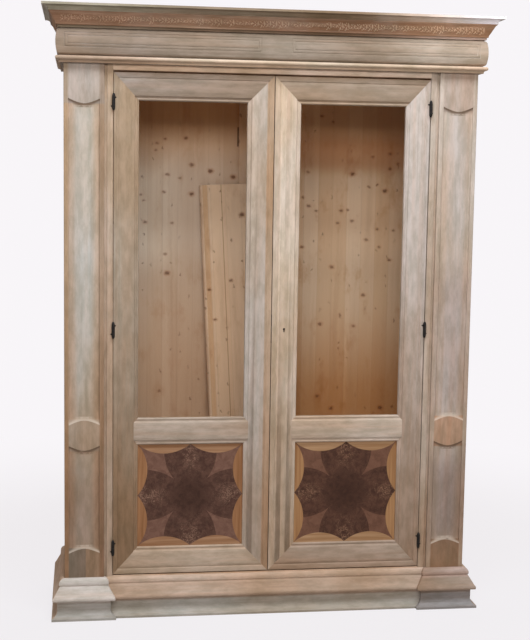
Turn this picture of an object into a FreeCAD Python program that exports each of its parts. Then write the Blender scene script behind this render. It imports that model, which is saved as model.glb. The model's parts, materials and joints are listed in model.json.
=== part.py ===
import FreeCAD, Part

import math
import os

from FreeCAD import Vector

# Two-door display cabinet in raw wood: a carcass on a breakfront plinth, milled pilasters,
# framed doors with panes above and marquetry panels below, and a cornice with a swelling frieze.
# Millimetres, +Z up, front towards -Y, origin at the middle of the underside.

# Overall
carcass_width = 1486.0
carcass_depth = 404.0
carcass_height = 1984.0
crown_reach = 73.0
crown_height = 78.0
pilaster_proud = 8.0
cut_overrun = 20.0
seat_gap = 0.3

# Boards of the carcass
side_thickness = 22.0
side_rebate = 8.0
board_thickness = 22.0
front_thickness = 24.0
back_thickness = 12.0
back_floor_gap = 20.0
batten_width = 160.0
batten_thickness = 10.0
lid_thickness = 12.0
lid_gap = 1.0
bearer_size = 20.0
bearer_front_inset = 60.0
bearer_chamfer = 8.0
bearer_level_shares = (0.24, 0.47, 0.70)

# Face frame and pilasters
pilaster_width = 141.0
top_rail_height = 22.5
cabinet_floor = 149.6
face_stile_width = 31.0
face_groove_width = 10.0
face_groove_depth = 6.0
pilaster_arris = 2.0
shaft_margin = 15.5
shaft_side_depth = 8.5
shaft_middle_depth = 1.8
shaft_cutter_radius = 50.0
top_block_length = 138.0
middle_block_level_share = 0.338
middle_block_length = 110.0
foot_block_length = 107.0

# Plinth: a section of reach outwards and height, given as shares of the two
plinth_height = 148.0
plinth_reach = 46.5
plinth_recess = 18.0
foot_top_share = 0.06
flare_reach_share = 0.58
flare_top_share = 0.27
drip_reach_share = 0.90
drip_height_share = 0.477
nose_reach_share = 0.935
nose_height_share = 0.53
slope_reach_share = 0.84
slope_height_share = 0.58
quirk_reach_share = 0.366
quirk_height_share = 0.828
round_reach_share = 0.44
round_low_share = 0.85
round_side_share = 0.878
top_lip_share = 0.065

# Cornice: necking, frieze, crown and the carved strip let into its slope
necking_height = 23.0
necking_reach = 28.0
necking_nose_share = 0.61
necking_cove_share = 0.49
necking_foot_share = 0.19
frieze_height = 95.0
frieze_reach = 12.0
frieze_swell = 15.0
frieze_fillet = 3.0
frieze_end_radius = 11.0
crown_wall = 2.0
field_line_width = 2.2
field_line_depth = 1.2
field_line_spacing = 10.0
field_low_share = 0.31
field_high_share = 0.84
field_end_gap = 15.0
field_middle_gap = 108.0
fillet_reach_share = 0.274
fillet_height_share = 0.077
strip_low_reach_share = 0.329
strip_low_height_share = 0.09
strip_high_reach_share = 0.685
strip_high_height_share = 0.68
strip_thickness = 5.0
strip_bead_width = 6.0
strip_field_drop = 1.8
crown_bead_width = 2.6
crown_bead_rise = 3.5
crown_lip_height = 8.0
crown_lip_step = 2.0

# Doors
door_edge_gap = 2.0
door_end_gap = 4.5
meeting_gap = 3.0
door_thickness = 24.0
hinge_stile_width = 88.0
meeting_stile_width = 95.2
top_rail_width = 96.5
bottom_rail_width = 98.4
middle_rail_width = 98.0
middle_rail_rise = 575.4
lip_back_depth = 12.0
pane_thickness = 4.0
pane_edge_gap = 1.0
glazing_bead_chamfer = 3.0

# Door frame section: shares of a member's width, counted from its outer edge, and depths
band_end_share = 0.175
groove_end_share = 0.215
mould_start_share = 0.826
bead_start_share = 0.915
rebate_share = 0.90
groove_depth = 2.6
swell_edge_depth = 1.6
cove_depth = 6.5
bead_depth = 4.6
lip_front_depth = 8.0

# Marquetry: curves as shares of the panel's half width and half height
veneer_thickness = 1.5
scallop_share = 0.185
pinch_share = 0.315
petal_bulge_share = 0.073

# Hinges
hinge_axis_proud = 6.2
hinge_radius = 5.7
hinge_length = 61.0
hinge_tip_length = 11.0
hinge_tip_share = 0.38
hinge_sides = 12
hinge_stud_sides = 6
hinge_pin_radius = 3.0
hinge_pin_length = 22.0
hinge_bore_extra = 1.0
hinge_half_gap = 0.3
hinge_stud_radius = 2.8
hinge_stud_root = 4.4
hinge_stud_length = 25.0
hinge_stud_angle = 45.0
hinge_level_shares = (0.055, 0.497, 0.943)
fit_clearance = 0.06

# Lock in the right door and its mortice in the left
lock_level_share = 0.498
lock_backset = 45.1
keyhole_radius = 4.2
keyhole_slot_width = 4.6
keyhole_slot_drop = 10.8
keyhole_sides = 12
lock_case_depth = 62.0
lock_case_height = 72.0
lock_case_thickness = 11.0
lock_cover = 7.0
forend_height = 104.0
forend_width = 14.0
forend_thickness = 2.0
lock_bolt_height = 24.0
lock_bolt_thickness = 6.0
lock_bolt_length = 32.0
lock_bolt_travel = 11.0
slide_clearance = 0.2
strike_clearance = 1.5

# Bolts on the back of the left door
door_bolt_inset = 38.5
door_bolt_width = 10.0
door_bolt_thickness = 6.0
door_bolt_length = 130.0
door_bolt_travel = 14.0
door_bolt_end_gap = 4.0
door_bolt_notch_gap = 1.0
guide_plate_thickness = 2.0
guide_plate_width = 30.0
guide_plate_length = 96.0
guide_tip_inset = 17.0
guide_loop_length = 16.0
guide_loop_wall = 2.5
guide_loop_inset = 6.0
bolt_knob_radius = 4.5
bolt_knob_length = 7.0
bolt_knob_sides = 12
bolt_knob_neck_radius = 2.5
bolt_knob_neck_length = 4.0

# Loose shelf, stored standing inside and leaning on the back
shelf_end_gap = 12.0
shelf_width = 330.0
shelf_thickness = 22.0
nosing_width = 30.0
nosing_drop = 3.0
nosing_round = 14.0
shelf_foot_x = -164.5
shelf_side_lean = 2.8
shelf_back_lean = 2.7

# Planes and places that follow from the sizes
half_width = carcass_width / 2
face_y = (crown_reach + pilaster_proud - carcass_depth) / 2
pilaster_y = face_y - pilaster_proud
frame_back_y = face_y + front_thickness
back_y = face_y + carcass_depth
back_front_y = back_y - back_thickness
batten_y = back_front_y - batten_thickness
inner_half_width = half_width - side_thickness
rebate_half_width = inner_half_width + side_rebate
stile_outer = half_width - pilaster_width
opening_half = stile_outer - face_stile_width
top_board_z = carcass_height - board_thickness
necking_top = carcass_height + necking_height
frieze_top = necking_top + frieze_height
overall_height = frieze_top + crown_height
door_outer = opening_half - door_edge_gap
door_inner = meeting_gap / 2
door_bottom = cabinet_floor + door_end_gap
door_top = carcass_height - top_rail_height - door_end_gap
door_back_y = face_y + door_thickness
sight_outer = door_outer - hinge_stile_width
sight_inner = door_inner + meeting_stile_width
pane_sight_top = door_top - top_rail_width
pane_sight_bottom = door_bottom + middle_rail_rise
panel_sight_top = pane_sight_bottom - middle_rail_width
panel_sight_bottom = door_bottom + bottom_rail_width
rebate_width = (1 - rebate_share) * hinge_stile_width
sheet_margin = rebate_width - pane_edge_gap
hinge_axis_x = (opening_half + door_outer) / 2
hinge_axis_y = face_y - hinge_axis_proud
lock_z = door_bottom + lock_level_share * (door_top - door_bottom)
lock_y = face_y + lock_cover + lock_case_thickness / 2
door_bolt_x = -(door_inner + door_bolt_inset)
door_bolt_front = door_back_y + guide_plate_thickness + slide_clearance
door_bolt_back = door_bolt_front + door_bolt_thickness
strip_low = (strip_low_reach_share * crown_reach, frieze_top + strip_low_height_share * crown_height)
strip_high = (strip_high_reach_share * crown_reach,
              frieze_top + strip_high_height_share * crown_height)
strip_length = math.dist(strip_low, strip_high)
door_levels = [door_bottom + share * (door_top - door_bottom) for share in hinge_level_shares]


def board(x_low, x_high, y_low, y_high, z_low, z_high):
    """Return a square-edged board between six planes."""
    size = (x_high - x_low, y_high - y_low, z_high - z_low)
    return Part.makeBox(*size, Vector(x_low, y_low, z_low))


def outline(steps, place):
    """Return a face. A step is a point, or (through, end) for an arc; place maps it to space."""
    edges = []
    start = steps[0]
    for step in steps[1:] + [start]:
        if isinstance(step[0], tuple):
            through, end = step
            edges.append(Part.Arc(place(*start), place(*through), place(*end)).toShape())
        else:
            end = step
            if end != start:
                edges.append(Part.makeLine(place(*start), place(*end)))
        start = end
    return Part.Face(Part.Wire(edges))


def quarter(start, end, corner):
    """Return the arc step from start to end that swells towards corner."""
    reach = math.sqrt(1 / 2)
    middle = [a + b - c + reach * (2 * c - a - b) for a, b, c in zip(start, end, corner)]
    return tuple(middle), end


def plan_prism(points, z_low, z_high):
    """Return an upright prism over a plan outline."""
    face = outline(points, lambda x, y: Vector(x, y, z_low))
    return face.extrude(Vector(0, 0, z_high - z_low))


def mirrored(shape):
    """Return the shape's twin on the other side of the middle plane."""
    return shape.mirror(Vector(0, 0, 0), Vector(1, 0, 0))


def both_sides(shape):
    """Return a shape and its twin as separate solids."""
    return Part.makeCompound([mirrored(shape), shape])


def front_run(section, base_y=pilaster_y):
    """Return a moulding that crosses the whole front, its section standing out from base_y."""
    reach = half_width + crown_reach + cut_overrun
    face = outline(section, lambda out, z: Vector(-reach, base_y - out, z))
    return face.extrude(Vector(2 * reach, 0, 0))


def side_run(section):
    """Return a moulding along the right side, from in front of the corner to the back."""
    start_y = pilaster_y - crown_reach - cut_overrun
    face = outline(section, lambda out, z: Vector(half_width + out, start_y, z))
    return face.extrude(Vector(0, back_y - start_y, 0))


def mitred(section):
    """Return a front run and a right return of one section, cut to a mitre at the corner."""
    out = crown_reach + cut_overrun
    top = overall_height + cut_overrun
    right_out = (half_width + out, pilaster_y - out)
    right_in = (half_width - out, pilaster_y + out)
    left_in = (-right_in[0], right_in[1])
    left_out = (-right_out[0], right_out[1])
    front = plan_prism([left_out, right_out, right_in, left_in], -cut_overrun, top)
    side_points = [right_out, (right_out[0], back_y), (right_in[0], back_y), right_in]
    side = plan_prism(side_points, -cut_overrun, top)
    return front_run(section).common(front), side_run(section).common(side)


def bolt_notch(z_mouth, direction):
    """Return the notch that a door bolt shoots into, up from z_mouth for 1 and down for -1."""
    half = door_bolt_width / 2 + door_bolt_notch_gap
    z_low = min(z_mouth, z_mouth + direction * door_bolt_travel)
    return board(door_bolt_x - half, door_bolt_x + half, frame_back_y,
                 door_bolt_back + door_bolt_notch_gap, z_low, z_low + door_bolt_travel)


def make_carcass():
    """Return the case: sides, bottom, top, back boards, batten and shelf bearers."""
    side_plan = [(inner_half_width, frame_back_y), (half_width, frame_back_y), (half_width, back_y),
                 (rebate_half_width, back_y),
                 (rebate_half_width, back_front_y), (inner_half_width, back_front_y)]
    side = plan_prism(side_plan, 0, carcass_height)
    bottom = board(-inner_half_width, inner_half_width, frame_back_y, back_front_y,
                   cabinet_floor - board_thickness, cabinet_floor)
    top = board(-inner_half_width, inner_half_width, frame_back_y, back_front_y,
                top_board_z, carcass_height)
    back = board(0, rebate_half_width, back_front_y, back_y, back_floor_gap, frieze_top)
    batten = board(-batten_width / 2, batten_width / 2, batten_y, back_front_y,
                   cabinet_floor, top_board_z)
    return {
        "left_side_panel": mirrored(side),
        "right_side_panel": side,
        "bottom_board": bottom.cut(bolt_notch(cabinet_floor, -1)),
        "top_board": top.cut(bolt_notch(top_board_z, 1)),
        "back_left_board": mirrored(back),
        "back_right_board": back,
        "back_center_batten": batten,
        "shelf_bearers": make_bearers(),
    }


def make_bearers():
    """Return the strips on the side panels that carry shelves."""
    front = frame_back_y + bearer_front_inset
    solids = []
    for share in bearer_level_shares:
        top = cabinet_floor + share * (top_board_z - cabinet_floor)
        low = top - bearer_size
        section = [(front, top), (back_front_y, top), (back_front_y, low),
                   (front + bearer_chamfer, low), (front, low + bearer_chamfer)]
        face = outline(section, lambda y, z: Vector(inner_half_width - bearer_size, y, z))
        right = face.extrude(Vector(bearer_size, 0, 0))
        solids += [mirrored(right), right]
    return Part.makeCompound(solids)


def make_face_frame():
    """Return the narrow stiles beside the doors and the rails above and below them."""
    groove_x = stile_outer - face_groove_width
    plan = [(opening_half, face_y), (groove_x, face_y), (groove_x, face_y + face_groove_depth),
            (stile_outer, face_y + face_groove_depth), (stile_outer, frame_back_y),
            (opening_half, frame_back_y)]
    stile = plan_prism(plan, 0, carcass_height)
    for level in door_levels:
        stile = stile.cut(hinge_stud_hole(level, -1))
    top = board(-opening_half, opening_half, face_y, frame_back_y,
                carcass_height - top_rail_height, carcass_height)
    bottom = board(-opening_half, opening_half, face_y, frame_back_y, 0, cabinet_floor)
    return {
        "left_face_stile": mirrored(stile),
        "right_face_stile": stile,
        "top_front_rail": top,
        "bottom_front_rail": bottom,
    }


def shaft_cut(z_low, z_high):
    """Return what the profile cutter takes out of a pilaster between its two stops."""
    left = stile_outer + shaft_margin
    right = half_width - shaft_margin
    middle = (left + right) / 2
    surface = -cut_overrun
    deep = shaft_side_depth
    section = [(left, surface), (right, surface), (right, deep),
               ((middle, shaft_middle_depth), (left, deep))]
    axis_y = pilaster_y - shaft_cutter_radius
    face = outline(section, lambda x, depth: Vector(x, pilaster_y + depth, z_low))
    removed = face.extrude(Vector(0, 0, z_high - z_low))
    run_outs = []
    for level in (z_low, z_high):
        at_level = face.translated(Vector(0, 0, level - z_low))
        run_outs.append(at_level.revolve(Vector(0, axis_y, level), Vector(1, 0, 0), 360))
    return [removed] + run_outs


def make_pilasters():
    """Return the two pilasters with their milled, swelling shafts between uncut blocks."""
    plan = [(stile_outer, pilaster_y + pilaster_arris), (stile_outer + pilaster_arris, pilaster_y),
            (half_width - pilaster_arris, pilaster_y), (half_width, pilaster_y + pilaster_arris),
            (half_width, frame_back_y), (stile_outer, frame_back_y)]
    pilaster = plan_prism(plan, 0, carcass_height)
    cutter = shaft_cutter_radius
    run_out = math.sqrt((cutter + shaft_middle_depth) ** 2 - cutter ** 2)
    middle_z = middle_block_level_share * carcass_height
    shafts = [
        (middle_z + middle_block_length / 2 + run_out, carcass_height - top_block_length - run_out),
        (plinth_height + foot_block_length + run_out, middle_z - middle_block_length / 2 - run_out),
    ]
    for z_low, z_high in shafts:
        for tool in shaft_cut(z_low, z_high):
            pilaster = pilaster.cut(tool)
    return {"left_pilaster": mirrored(pilaster), "right_pilaster": pilaster}


def plinth_section(back_reach):
    """Return the plinth's section from its back plane outwards."""
    def at(reach_share, height_share):
        return reach_share * plinth_reach, height_share * plinth_height

    foot = at(1, foot_top_share)
    flare = at(flare_reach_share, flare_top_share)
    drip = at(drip_reach_share, drip_height_share)
    nose = at(nose_reach_share, nose_height_share)
    slope = at(slope_reach_share, slope_height_share)
    quirk = at(quirk_reach_share, quirk_height_share)
    round_low = at(round_reach_share, round_low_share)
    round_side = at(round_reach_share, round_side_share)
    top_lip = at(top_lip_share, 1)
    return [(back_reach, 0), (plinth_reach, 0), foot, quarter(foot, flare, (flare[0], foot[1])),
            (flare[0], drip[1]), drip, (nose, slope), quirk, round_low, round_side,
            quarter(round_side, top_lip, (round_side[0], plinth_height)),
            (back_reach, plinth_height)]


def make_plinth():
    """Return the plinth: blocks under the pilasters, the centre set back, and the side runs."""
    block_inner = stile_outer + top_lip_share * plinth_reach
    center_y = pilaster_y + plinth_recess
    hidden = plinth_recess - pilaster_proud
    reach = plinth_reach + cut_overrun
    top = plinth_height + cut_overrun
    mitre_back = (block_inner - hidden, face_y)
    mitre_front = (block_inner - reach, center_y - reach)
    center_plan = [mitre_back, mitre_front, (-mitre_front[0], mitre_front[1]),
                   (-mitre_back[0], mitre_back[1])]
    beyond = [mitre_back, mitre_front, (0, mitre_front[1]), (0, face_y)]
    center = front_run(plinth_section(-pilaster_proud), center_y)
    center = center.common(plan_prism(center_plan, -cut_overrun, top))
    front_y = pilaster_y - crown_reach
    inner_section = plinth_section(-(half_width + crown_reach))
    inner_face = outline(inner_section, lambda out, z: Vector(block_inner - out, front_y, z))
    return_prism = inner_face.extrude(Vector(0, face_y - front_y, 0))
    pilaster_foot = board(stile_outer, half_width, pilaster_y, frame_back_y, 0, carcass_height)
    front, _ = mitred(plinth_section(-pilaster_proud))
    _, side = mitred(plinth_section(0))
    block = front.common(return_prism).cut(pilaster_foot).cut(plan_prism(beyond, 0, top))
    return {
        "plinth_front_center": center,
        "plinth_left_block": mirrored(block),
        "plinth_right_block": block,
        "plinth_side_runs": both_sides(side),
    }


def swell_steps(reach, low, high):
    """Return the steps of the frieze's swell, a wide arc that runs into a tight one at each end."""
    half = (high - low) / 2
    middle = (low + high) / 2
    end = frieze_end_radius
    swell = frieze_swell
    radius = (half ** 2 + swell ** 2 - 2 * half * end) / (2 * (swell - end))
    slope = math.atan2(half - end, radius - swell)
    halfway = (math.pi / 2 + slope) / 2

    def at(angle, side):
        rise = half - end + end * math.sin(angle)
        return reach + end * math.cos(angle), middle + side * rise

    return [(reach, low), (at(halfway, -1), at(slope, -1)),
            ((reach + swell, middle), at(slope, 1)), (at(halfway, 1), (reach, high))]


def frieze_section(sunk=0):
    """Return the frieze's section, its face set back by sunk."""
    reach = frieze_reach - sunk
    inner = rebate_half_width - half_width
    swell = swell_steps(reach, necking_top + frieze_fillet, frieze_top - frieze_fillet)
    return [(inner, carcass_height), (reach, carcass_height), *swell,
            (reach, frieze_top), (inner, frieze_top)]


def field_lines():
    """Return the tools that cut the double lines round the frieze's right-hand field."""
    x_low = field_middle_gap / 2
    x_high = half_width + frieze_reach - field_end_gap
    z_low = necking_top + field_low_share * frieze_height
    z_high = necking_top + field_high_share * frieze_height
    front_y = pilaster_y - crown_reach

    def field(inset):
        return board(x_low + inset, x_high - inset, front_y, pilaster_y, z_low + inset, z_high - inset)

    floor = front_run(frieze_section(field_line_depth))
    tools = []
    for inset in (0, field_line_spacing):
        ring = field(inset).cut(field(inset + field_line_width))
        tools.append(ring.cut(floor))
    return tools


def necking_section():
    """Return the section of the necking: a cove under a half-round nose."""
    nose_radius = necking_nose_share * necking_height / 2
    nose_low = necking_top - 2 * nose_radius
    nose_start = (necking_reach - nose_radius, nose_low)
    nose_end = (necking_reach - nose_radius, necking_top)
    spread = necking_reach - frieze_reach
    foot = (frieze_reach + necking_foot_share * spread, carcass_height)
    cove_end = (frieze_reach + necking_cove_share * spread, nose_low)
    return [(frieze_reach, carcass_height), foot, quarter(foot, cove_end, (foot[0], nose_low)),
            nose_start, ((necking_reach, nose_low + nose_radius), nose_end),
            (frieze_reach, necking_top)]


def on_strip(along, depth):
    """Return the section point at a distance up the carved strip and a depth below its face."""
    rise_out = (strip_high[0] - strip_low[0]) / strip_length
    rise_up = (strip_high[1] - strip_low[1]) / strip_length
    return (strip_low[0] + rise_out * along - rise_up * depth,
            strip_low[1] + rise_up * along + rise_out * depth)


def crown_section():
    """Return the crown's section: fillet, seat of the strip, bead, cavetto and lip."""
    fillet = fillet_reach_share * crown_reach
    lip_low = overall_height - crown_lip_height
    lip_back = crown_reach - crown_lip_step
    out, up = strip_high
    bead = ((out + crown_bead_width, up + crown_bead_rise / 2), (out, up + crown_bead_rise))
    cavetto = quarter(bead[1], (lip_back, lip_low), (out, lip_low))
    return [(-crown_wall, frieze_top), (fillet, frieze_top),
            (fillet, frieze_top + fillet_height_share * crown_height),
            on_strip(0, strip_thickness), on_strip(strip_length, strip_thickness), strip_high,
            bead, cavetto, (crown_reach, lip_low), (crown_reach, overall_height),
            (-crown_wall, overall_height)]


def strip_section():
    """Return the carved strip's section: a sunk field between two beads."""
    bead = strip_bead_width
    drop = strip_field_drop
    far = strip_length
    return [on_strip(0, drop), (on_strip(bead / 2, 0), on_strip(bead, drop)),
            on_strip(far - bead, drop), (on_strip(far - bead / 2, 0), on_strip(far, drop)),
            on_strip(far, strip_thickness), on_strip(0, strip_thickness)]


def make_cornice():
    """Return the necking, frieze, carved strip, crown and the lid that closes them."""
    frieze_front, frieze_side = mitred(frieze_section())
    for tool in field_lines():
        frieze_front = frieze_front.cut(tool).cut(mirrored(tool))
    necking_front, necking_side = mitred(necking_section())
    crown_front, crown_side = mitred(crown_section())
    strip_front, strip_side = mitred(strip_section())
    lid_half = half_width - crown_wall - lid_gap
    lid = board(-lid_half, lid_half, pilaster_y + crown_wall + lid_gap, back_y,
                frieze_top, frieze_top + lid_thickness)
    return {
        "necking_front": necking_front,
        "necking_returns": both_sides(necking_side),
        "frieze_front": frieze_front,
        "frieze_left": mirrored(frieze_side),
        "frieze_right": frieze_side,
        "carved_strip_front": strip_front,
        "carved_strip_returns": both_sides(strip_side),
        "crown_front": crown_front,
        "crown_left": mirrored(crown_side),
        "crown_right": crown_side,
        "cornice_lid": lid,
    }


def front_prism(points, y_low, y_high):
    """Return a prism over an outline drawn in the elevation."""
    face = outline(points, lambda x, z: Vector(x, y_low, z))
    return face.extrude(Vector(0, y_high - y_low, 0))


def mitred_frame(outer, sight, section):
    """Return the low-x, high-x, low-z and high-z members of a frame with mitred corners."""
    x_low, x_high, z_low, z_high = outer
    sight_left, sight_right, sight_low, sight_high = sight
    corners = [(x_low, z_low), (x_high, z_low), (x_high, z_high), (x_low, z_high)]
    inner = [(sight_left, sight_low), (sight_right, sight_low),
             (sight_right, sight_high), (sight_left, sight_high)]
    up = Vector(0, 0, z_high - z_low)
    across = Vector(x_high - x_low, 0, 0)
    members = [
        (3, 0, sight_left - x_low, lambda a, d: Vector(x_low + a, face_y + d, z_low), up),
        (1, 2, x_high - sight_right, lambda a, d: Vector(x_high - a, face_y + d, z_low), up),
        (0, 1, sight_low - z_low, lambda a, d: Vector(x_low, face_y + d, z_low + a), across),
        (2, 3, z_high - sight_high, lambda a, d: Vector(x_low, face_y + d, z_high - a), across),
    ]
    solids = []
    for first, second, width, place, run in members:
        wedge_points = [corners[first], corners[second], inner[second], inner[first]]
        wedge = front_prism(wedge_points, face_y, door_back_y)
        solids.append(outline(section(width), place).extrude(run).common(wedge))
    return solids


def member_section(width):
    """Return the section of a door's outer member, across from its outer edge."""
    band = band_end_share * width
    groove = groove_end_share * width
    mould = mould_start_share * width
    bead = bead_start_share * width
    rebate = rebate_share * width
    return [(0, 0), (band, 0), ((band + groove) / 2, groove_depth), (groove, swell_edge_depth),
            (((groove + mould) / 2, 0), (mould, swell_edge_depth)),
            quarter((mould, swell_edge_depth), (bead, cove_depth), (mould, cove_depth)),
            (((bead + width) / 2, bead_depth), (width, lip_front_depth)),
            (width, lip_back_depth), (rebate, lip_back_depth), (rebate, door_thickness),
            (0, door_thickness)]


def middle_rail_section(width):
    """Return the section of a door's middle rail, moulded and rebated along both edges."""
    mould = (1 - mould_start_share) * width
    bead = (1 - bead_start_share) * width
    rebate = (1 - rebate_share) * width
    far_mould = width - mould
    far_bead = width - bead
    return [(0, lip_front_depth), ((bead / 2, bead_depth), (bead, cove_depth)),
            quarter((bead, cove_depth), (mould, swell_edge_depth), (mould, cove_depth)),
            ((width / 2, 0), (far_mould, swell_edge_depth)),
            quarter((far_mould, swell_edge_depth), (far_bead, cove_depth), (far_mould, cove_depth)),
            ((width - bead / 2, bead_depth), (width, lip_front_depth)),
            (width, lip_back_depth), (width - rebate, lip_back_depth),
            (width - rebate, door_thickness), (rebate, door_thickness), (rebate, lip_back_depth),
            (0, lip_back_depth)]


def glazing_bead_section(width):
    """Return the section of a bead that holds the pane in its rebate."""
    front = lip_back_depth + pane_thickness
    chamfer = glazing_bead_chamfer
    return [(0, front), (width, front), (width, door_thickness - chamfer),
            (width - chamfer, door_thickness), (0, door_thickness)]


def make_door_frame():
    """Return the right door's two stiles, three rails, pane and glazing beads."""
    outer = (door_inner, door_outer, door_bottom, door_top)
    sight = (sight_inner, sight_outer, panel_sight_bottom, pane_sight_top)
    meeting, hinge, bottom, top = mitred_frame(outer, sight, member_section)
    for level in door_levels:
        hinge = hinge.cut(hinge_stud_hole(level, 1))
    rail_left = door_inner + mould_start_share * meeting_stile_width
    rail_right = door_outer - mould_start_share * hinge_stile_width
    mould = (1 - mould_start_share) * middle_rail_width
    rail_plan = [
        (rail_left, panel_sight_top + mould), (sight_inner, panel_sight_top),
        (sight_outer, panel_sight_top), (rail_right, panel_sight_top + mould),
        (rail_right, pane_sight_bottom - mould), (sight_outer, pane_sight_bottom),
        (sight_inner, pane_sight_bottom), (rail_left, pane_sight_bottom - mould),
    ]
    rail_prism = front_prism(rail_plan, face_y, door_back_y)
    meeting = meeting.cut(rail_prism)
    hinge = hinge.cut(rail_prism)
    face = outline(middle_rail_section(middle_rail_width),
                   lambda a, d: Vector(rail_left, face_y + d, panel_sight_top + a))
    middle = face.extrude(Vector(rail_right - rail_left, 0, 0)).common(rail_prism)
    pane = board(sight_inner - sheet_margin, sight_outer + sheet_margin,
                 face_y + lip_back_depth, face_y + lip_back_depth + pane_thickness,
                 pane_sight_bottom - sheet_margin, pane_sight_top + sheet_margin)
    rebate = 1 - rebate_share
    rebate_edges = (sight_inner - rebate * meeting_stile_width,
                    sight_outer + rebate * hinge_stile_width,
                    pane_sight_bottom - rebate * middle_rail_width,
                    pane_sight_top + rebate * top_rail_width)
    pane_sight = (sight_inner, sight_outer, pane_sight_bottom, pane_sight_top)
    beads = mitred_frame(rebate_edges, pane_sight, glazing_bead_section)
    return {
        "hinge_stile": hinge,
        "meeting_stile": meeting,
        "top_rail": top,
        "mid_rail": middle,
        "bottom_rail": bottom,
        "glass": pane,
        "glazing_beads": Part.makeCompound(beads),
    }


def segment_point(half_chord, depth, share):
    """Return how far along and how far up a scallop's arc lies at a share of its half angle."""
    radius = (half_chord ** 2 + depth ** 2) / (2 * depth)
    angle = share * math.asin(half_chord / radius)
    return radius * math.sin(angle), radius * (1 - math.cos(angle))


def petal_side(start, end):
    """Return the arc step along a petal's side, from its pinch to its scallop, bulging outwards."""
    through = ((start[0] + end[0]) / 2 + petal_bulge_share * (end[1] - start[1]),
               (start[1] + end[1]) / 2 - petal_bulge_share * (end[0] - start[0]))
    return through, end


def make_marquetry():
    """Return the panel's board and the veneers on it: petals, scallops and corner fields."""
    center_x = (sight_inner + sight_outer) / 2
    center_z = (panel_sight_bottom + panel_sight_top) / 2
    half_x = (sight_outer - sight_inner) / 2
    half_z = (panel_sight_top - panel_sight_bottom) / 2
    veneer_y = face_y + lip_back_depth
    base = board(sight_inner - sheet_margin, sight_outer + sheet_margin,
                 veneer_y + veneer_thickness, door_back_y,
                 panel_sight_bottom - sheet_margin, panel_sight_top + sheet_margin)

    def piece(steps, place):
        return outline(steps, place).extrude(Vector(0, veneer_thickness, 0))

    turns = [
        (half_x, half_z, lambda p, q: Vector(center_x + p, veneer_y, center_z + q)),
        (half_z, half_x, lambda p, q: Vector(center_x + q, veneer_y, center_z - p)),
        (half_x, half_z, lambda p, q: Vector(center_x - p, veneer_y, center_z - q)),
        (half_z, half_x, lambda p, q: Vector(center_x - q, veneer_y, center_z + p)),
    ]
    petals = []
    scallops = []
    for half, out, place in turns:
        depth = scallop_share * out
        pinch = (pinch_share * half, pinch_share * out)
        low = (half / 2, out - depth)
        along, rise = segment_point(half / 2, depth, 1 / 2)
        near = (half / 2 - along, low[1] + rise)
        side = petal_side(pinch, low)
        petals.append(piece([
            (0, 0), pinch, side, (near, (0, out)),
            ((-near[0], near[1]), (-low[0], low[1])),
            ((-side[0][0], side[0][1]), (-pinch[0], pinch[1])),
        ], place))
        rim = out + sheet_margin
        for sign in (-1, 1):
            scallops.append(piece([
                (0, out), ((sign * low[0], low[1]), (sign * half, out)),
                (sign * (half + sheet_margin), rim), (0, rim),
            ], place))
    corners = []
    for sign_x, sign_z in ((-1, -1), (-1, 1), (1, -1), (1, 1)):
        def place(p, q):
            return Vector(center_x + sign_x * p, veneer_y, center_z + sign_z * q)
        corners.append(piece(corner_steps(half_x, half_z), place))
    return {
        "panel": base,
        "petals": Part.makeCompound(petals),
        "scallops": Part.makeCompound(scallops),
        "corner_veneers": Part.makeCompound(corners),
    }


def corner_steps(half_x, half_z):
    """Return the outline of one corner field, between two petals and two scallops."""
    pinch = (pinch_share * half_x, pinch_share * half_z)
    top_low = (half_x / 2, (1 - scallop_share) * half_z)
    side_low = ((1 - scallop_share) * half_x, half_z / 2)
    along, rise = segment_point(half_x / 2, scallop_share * half_z, 1 / 2)
    top_far = (half_x / 2 + along, top_low[1] + rise)
    along, rise = segment_point(half_z / 2, scallop_share * half_x, 1 / 2)
    side_far = (side_low[0] + rise, half_z / 2 + along)
    swapped_through, _ = petal_side(pinch[::-1], side_low[::-1])
    return [pinch, petal_side(pinch, top_low), (top_far, (half_x, half_z)),
            (side_far, side_low), (swapped_through[::-1], pinch)]


def hinge_direction(door_side):
    """Return the way a hinge's stud points: into the door for 1, into the frame for -1."""
    angle = math.radians(hinge_stud_angle)
    return Vector(-door_side * math.cos(angle), math.sin(angle), 0)


def hinge_stud_level(level, door_side):
    """Return the height of a stud: the upper half of a hinge is on the door."""
    return level + door_side * hinge_length / 4


def ring(center, direction, radius, sides):
    """Return the corners of a regular polygon square to a direction."""
    turn = FreeCAD.Rotation(Vector(0, 0, 1), direction)
    corners = []
    for index in range(sides):
        angle = math.tau * index / sides
        corner = Vector(radius * math.cos(angle), radius * math.sin(angle), 0)
        corners.append(center + turn.multVec(corner))
    return corners


def tapered(start, direction, length, radius, end_radius, sides):
    """Return a body with flat sides between two regular polygons."""
    low = ring(start, direction, radius, sides)
    high = ring(start + direction * length, direction, end_radius, sides)
    walls = [Part.Face(Part.makePolygon([a, b, c, d, a]))
             for a, b, c, d in zip(low, low[1:] + low[:1], high[1:] + high[:1], high)]
    ends = [Part.Face(Part.makePolygon(points + points[:1])) for points in (low, high)]
    return Part.makeSolid(Part.makeShell(walls + ends))


def prism(start, direction, radius, length, sides):
    """Return a prism on a regular polygon, running in a direction from its start."""
    return tapered(start, direction, length, radius, radius, sides)


def hinge_stud_hole(level, door_side):
    """Return the hole for one stud in the right door or in the right face stile."""
    start = Vector(hinge_axis_x, hinge_axis_y, hinge_stud_level(level, door_side))
    length = hinge_stud_root + hinge_stud_length + fit_clearance
    radius = hinge_stud_radius + fit_clearance
    return prism(start, hinge_direction(door_side), radius, length, hinge_stud_sides)


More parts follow.
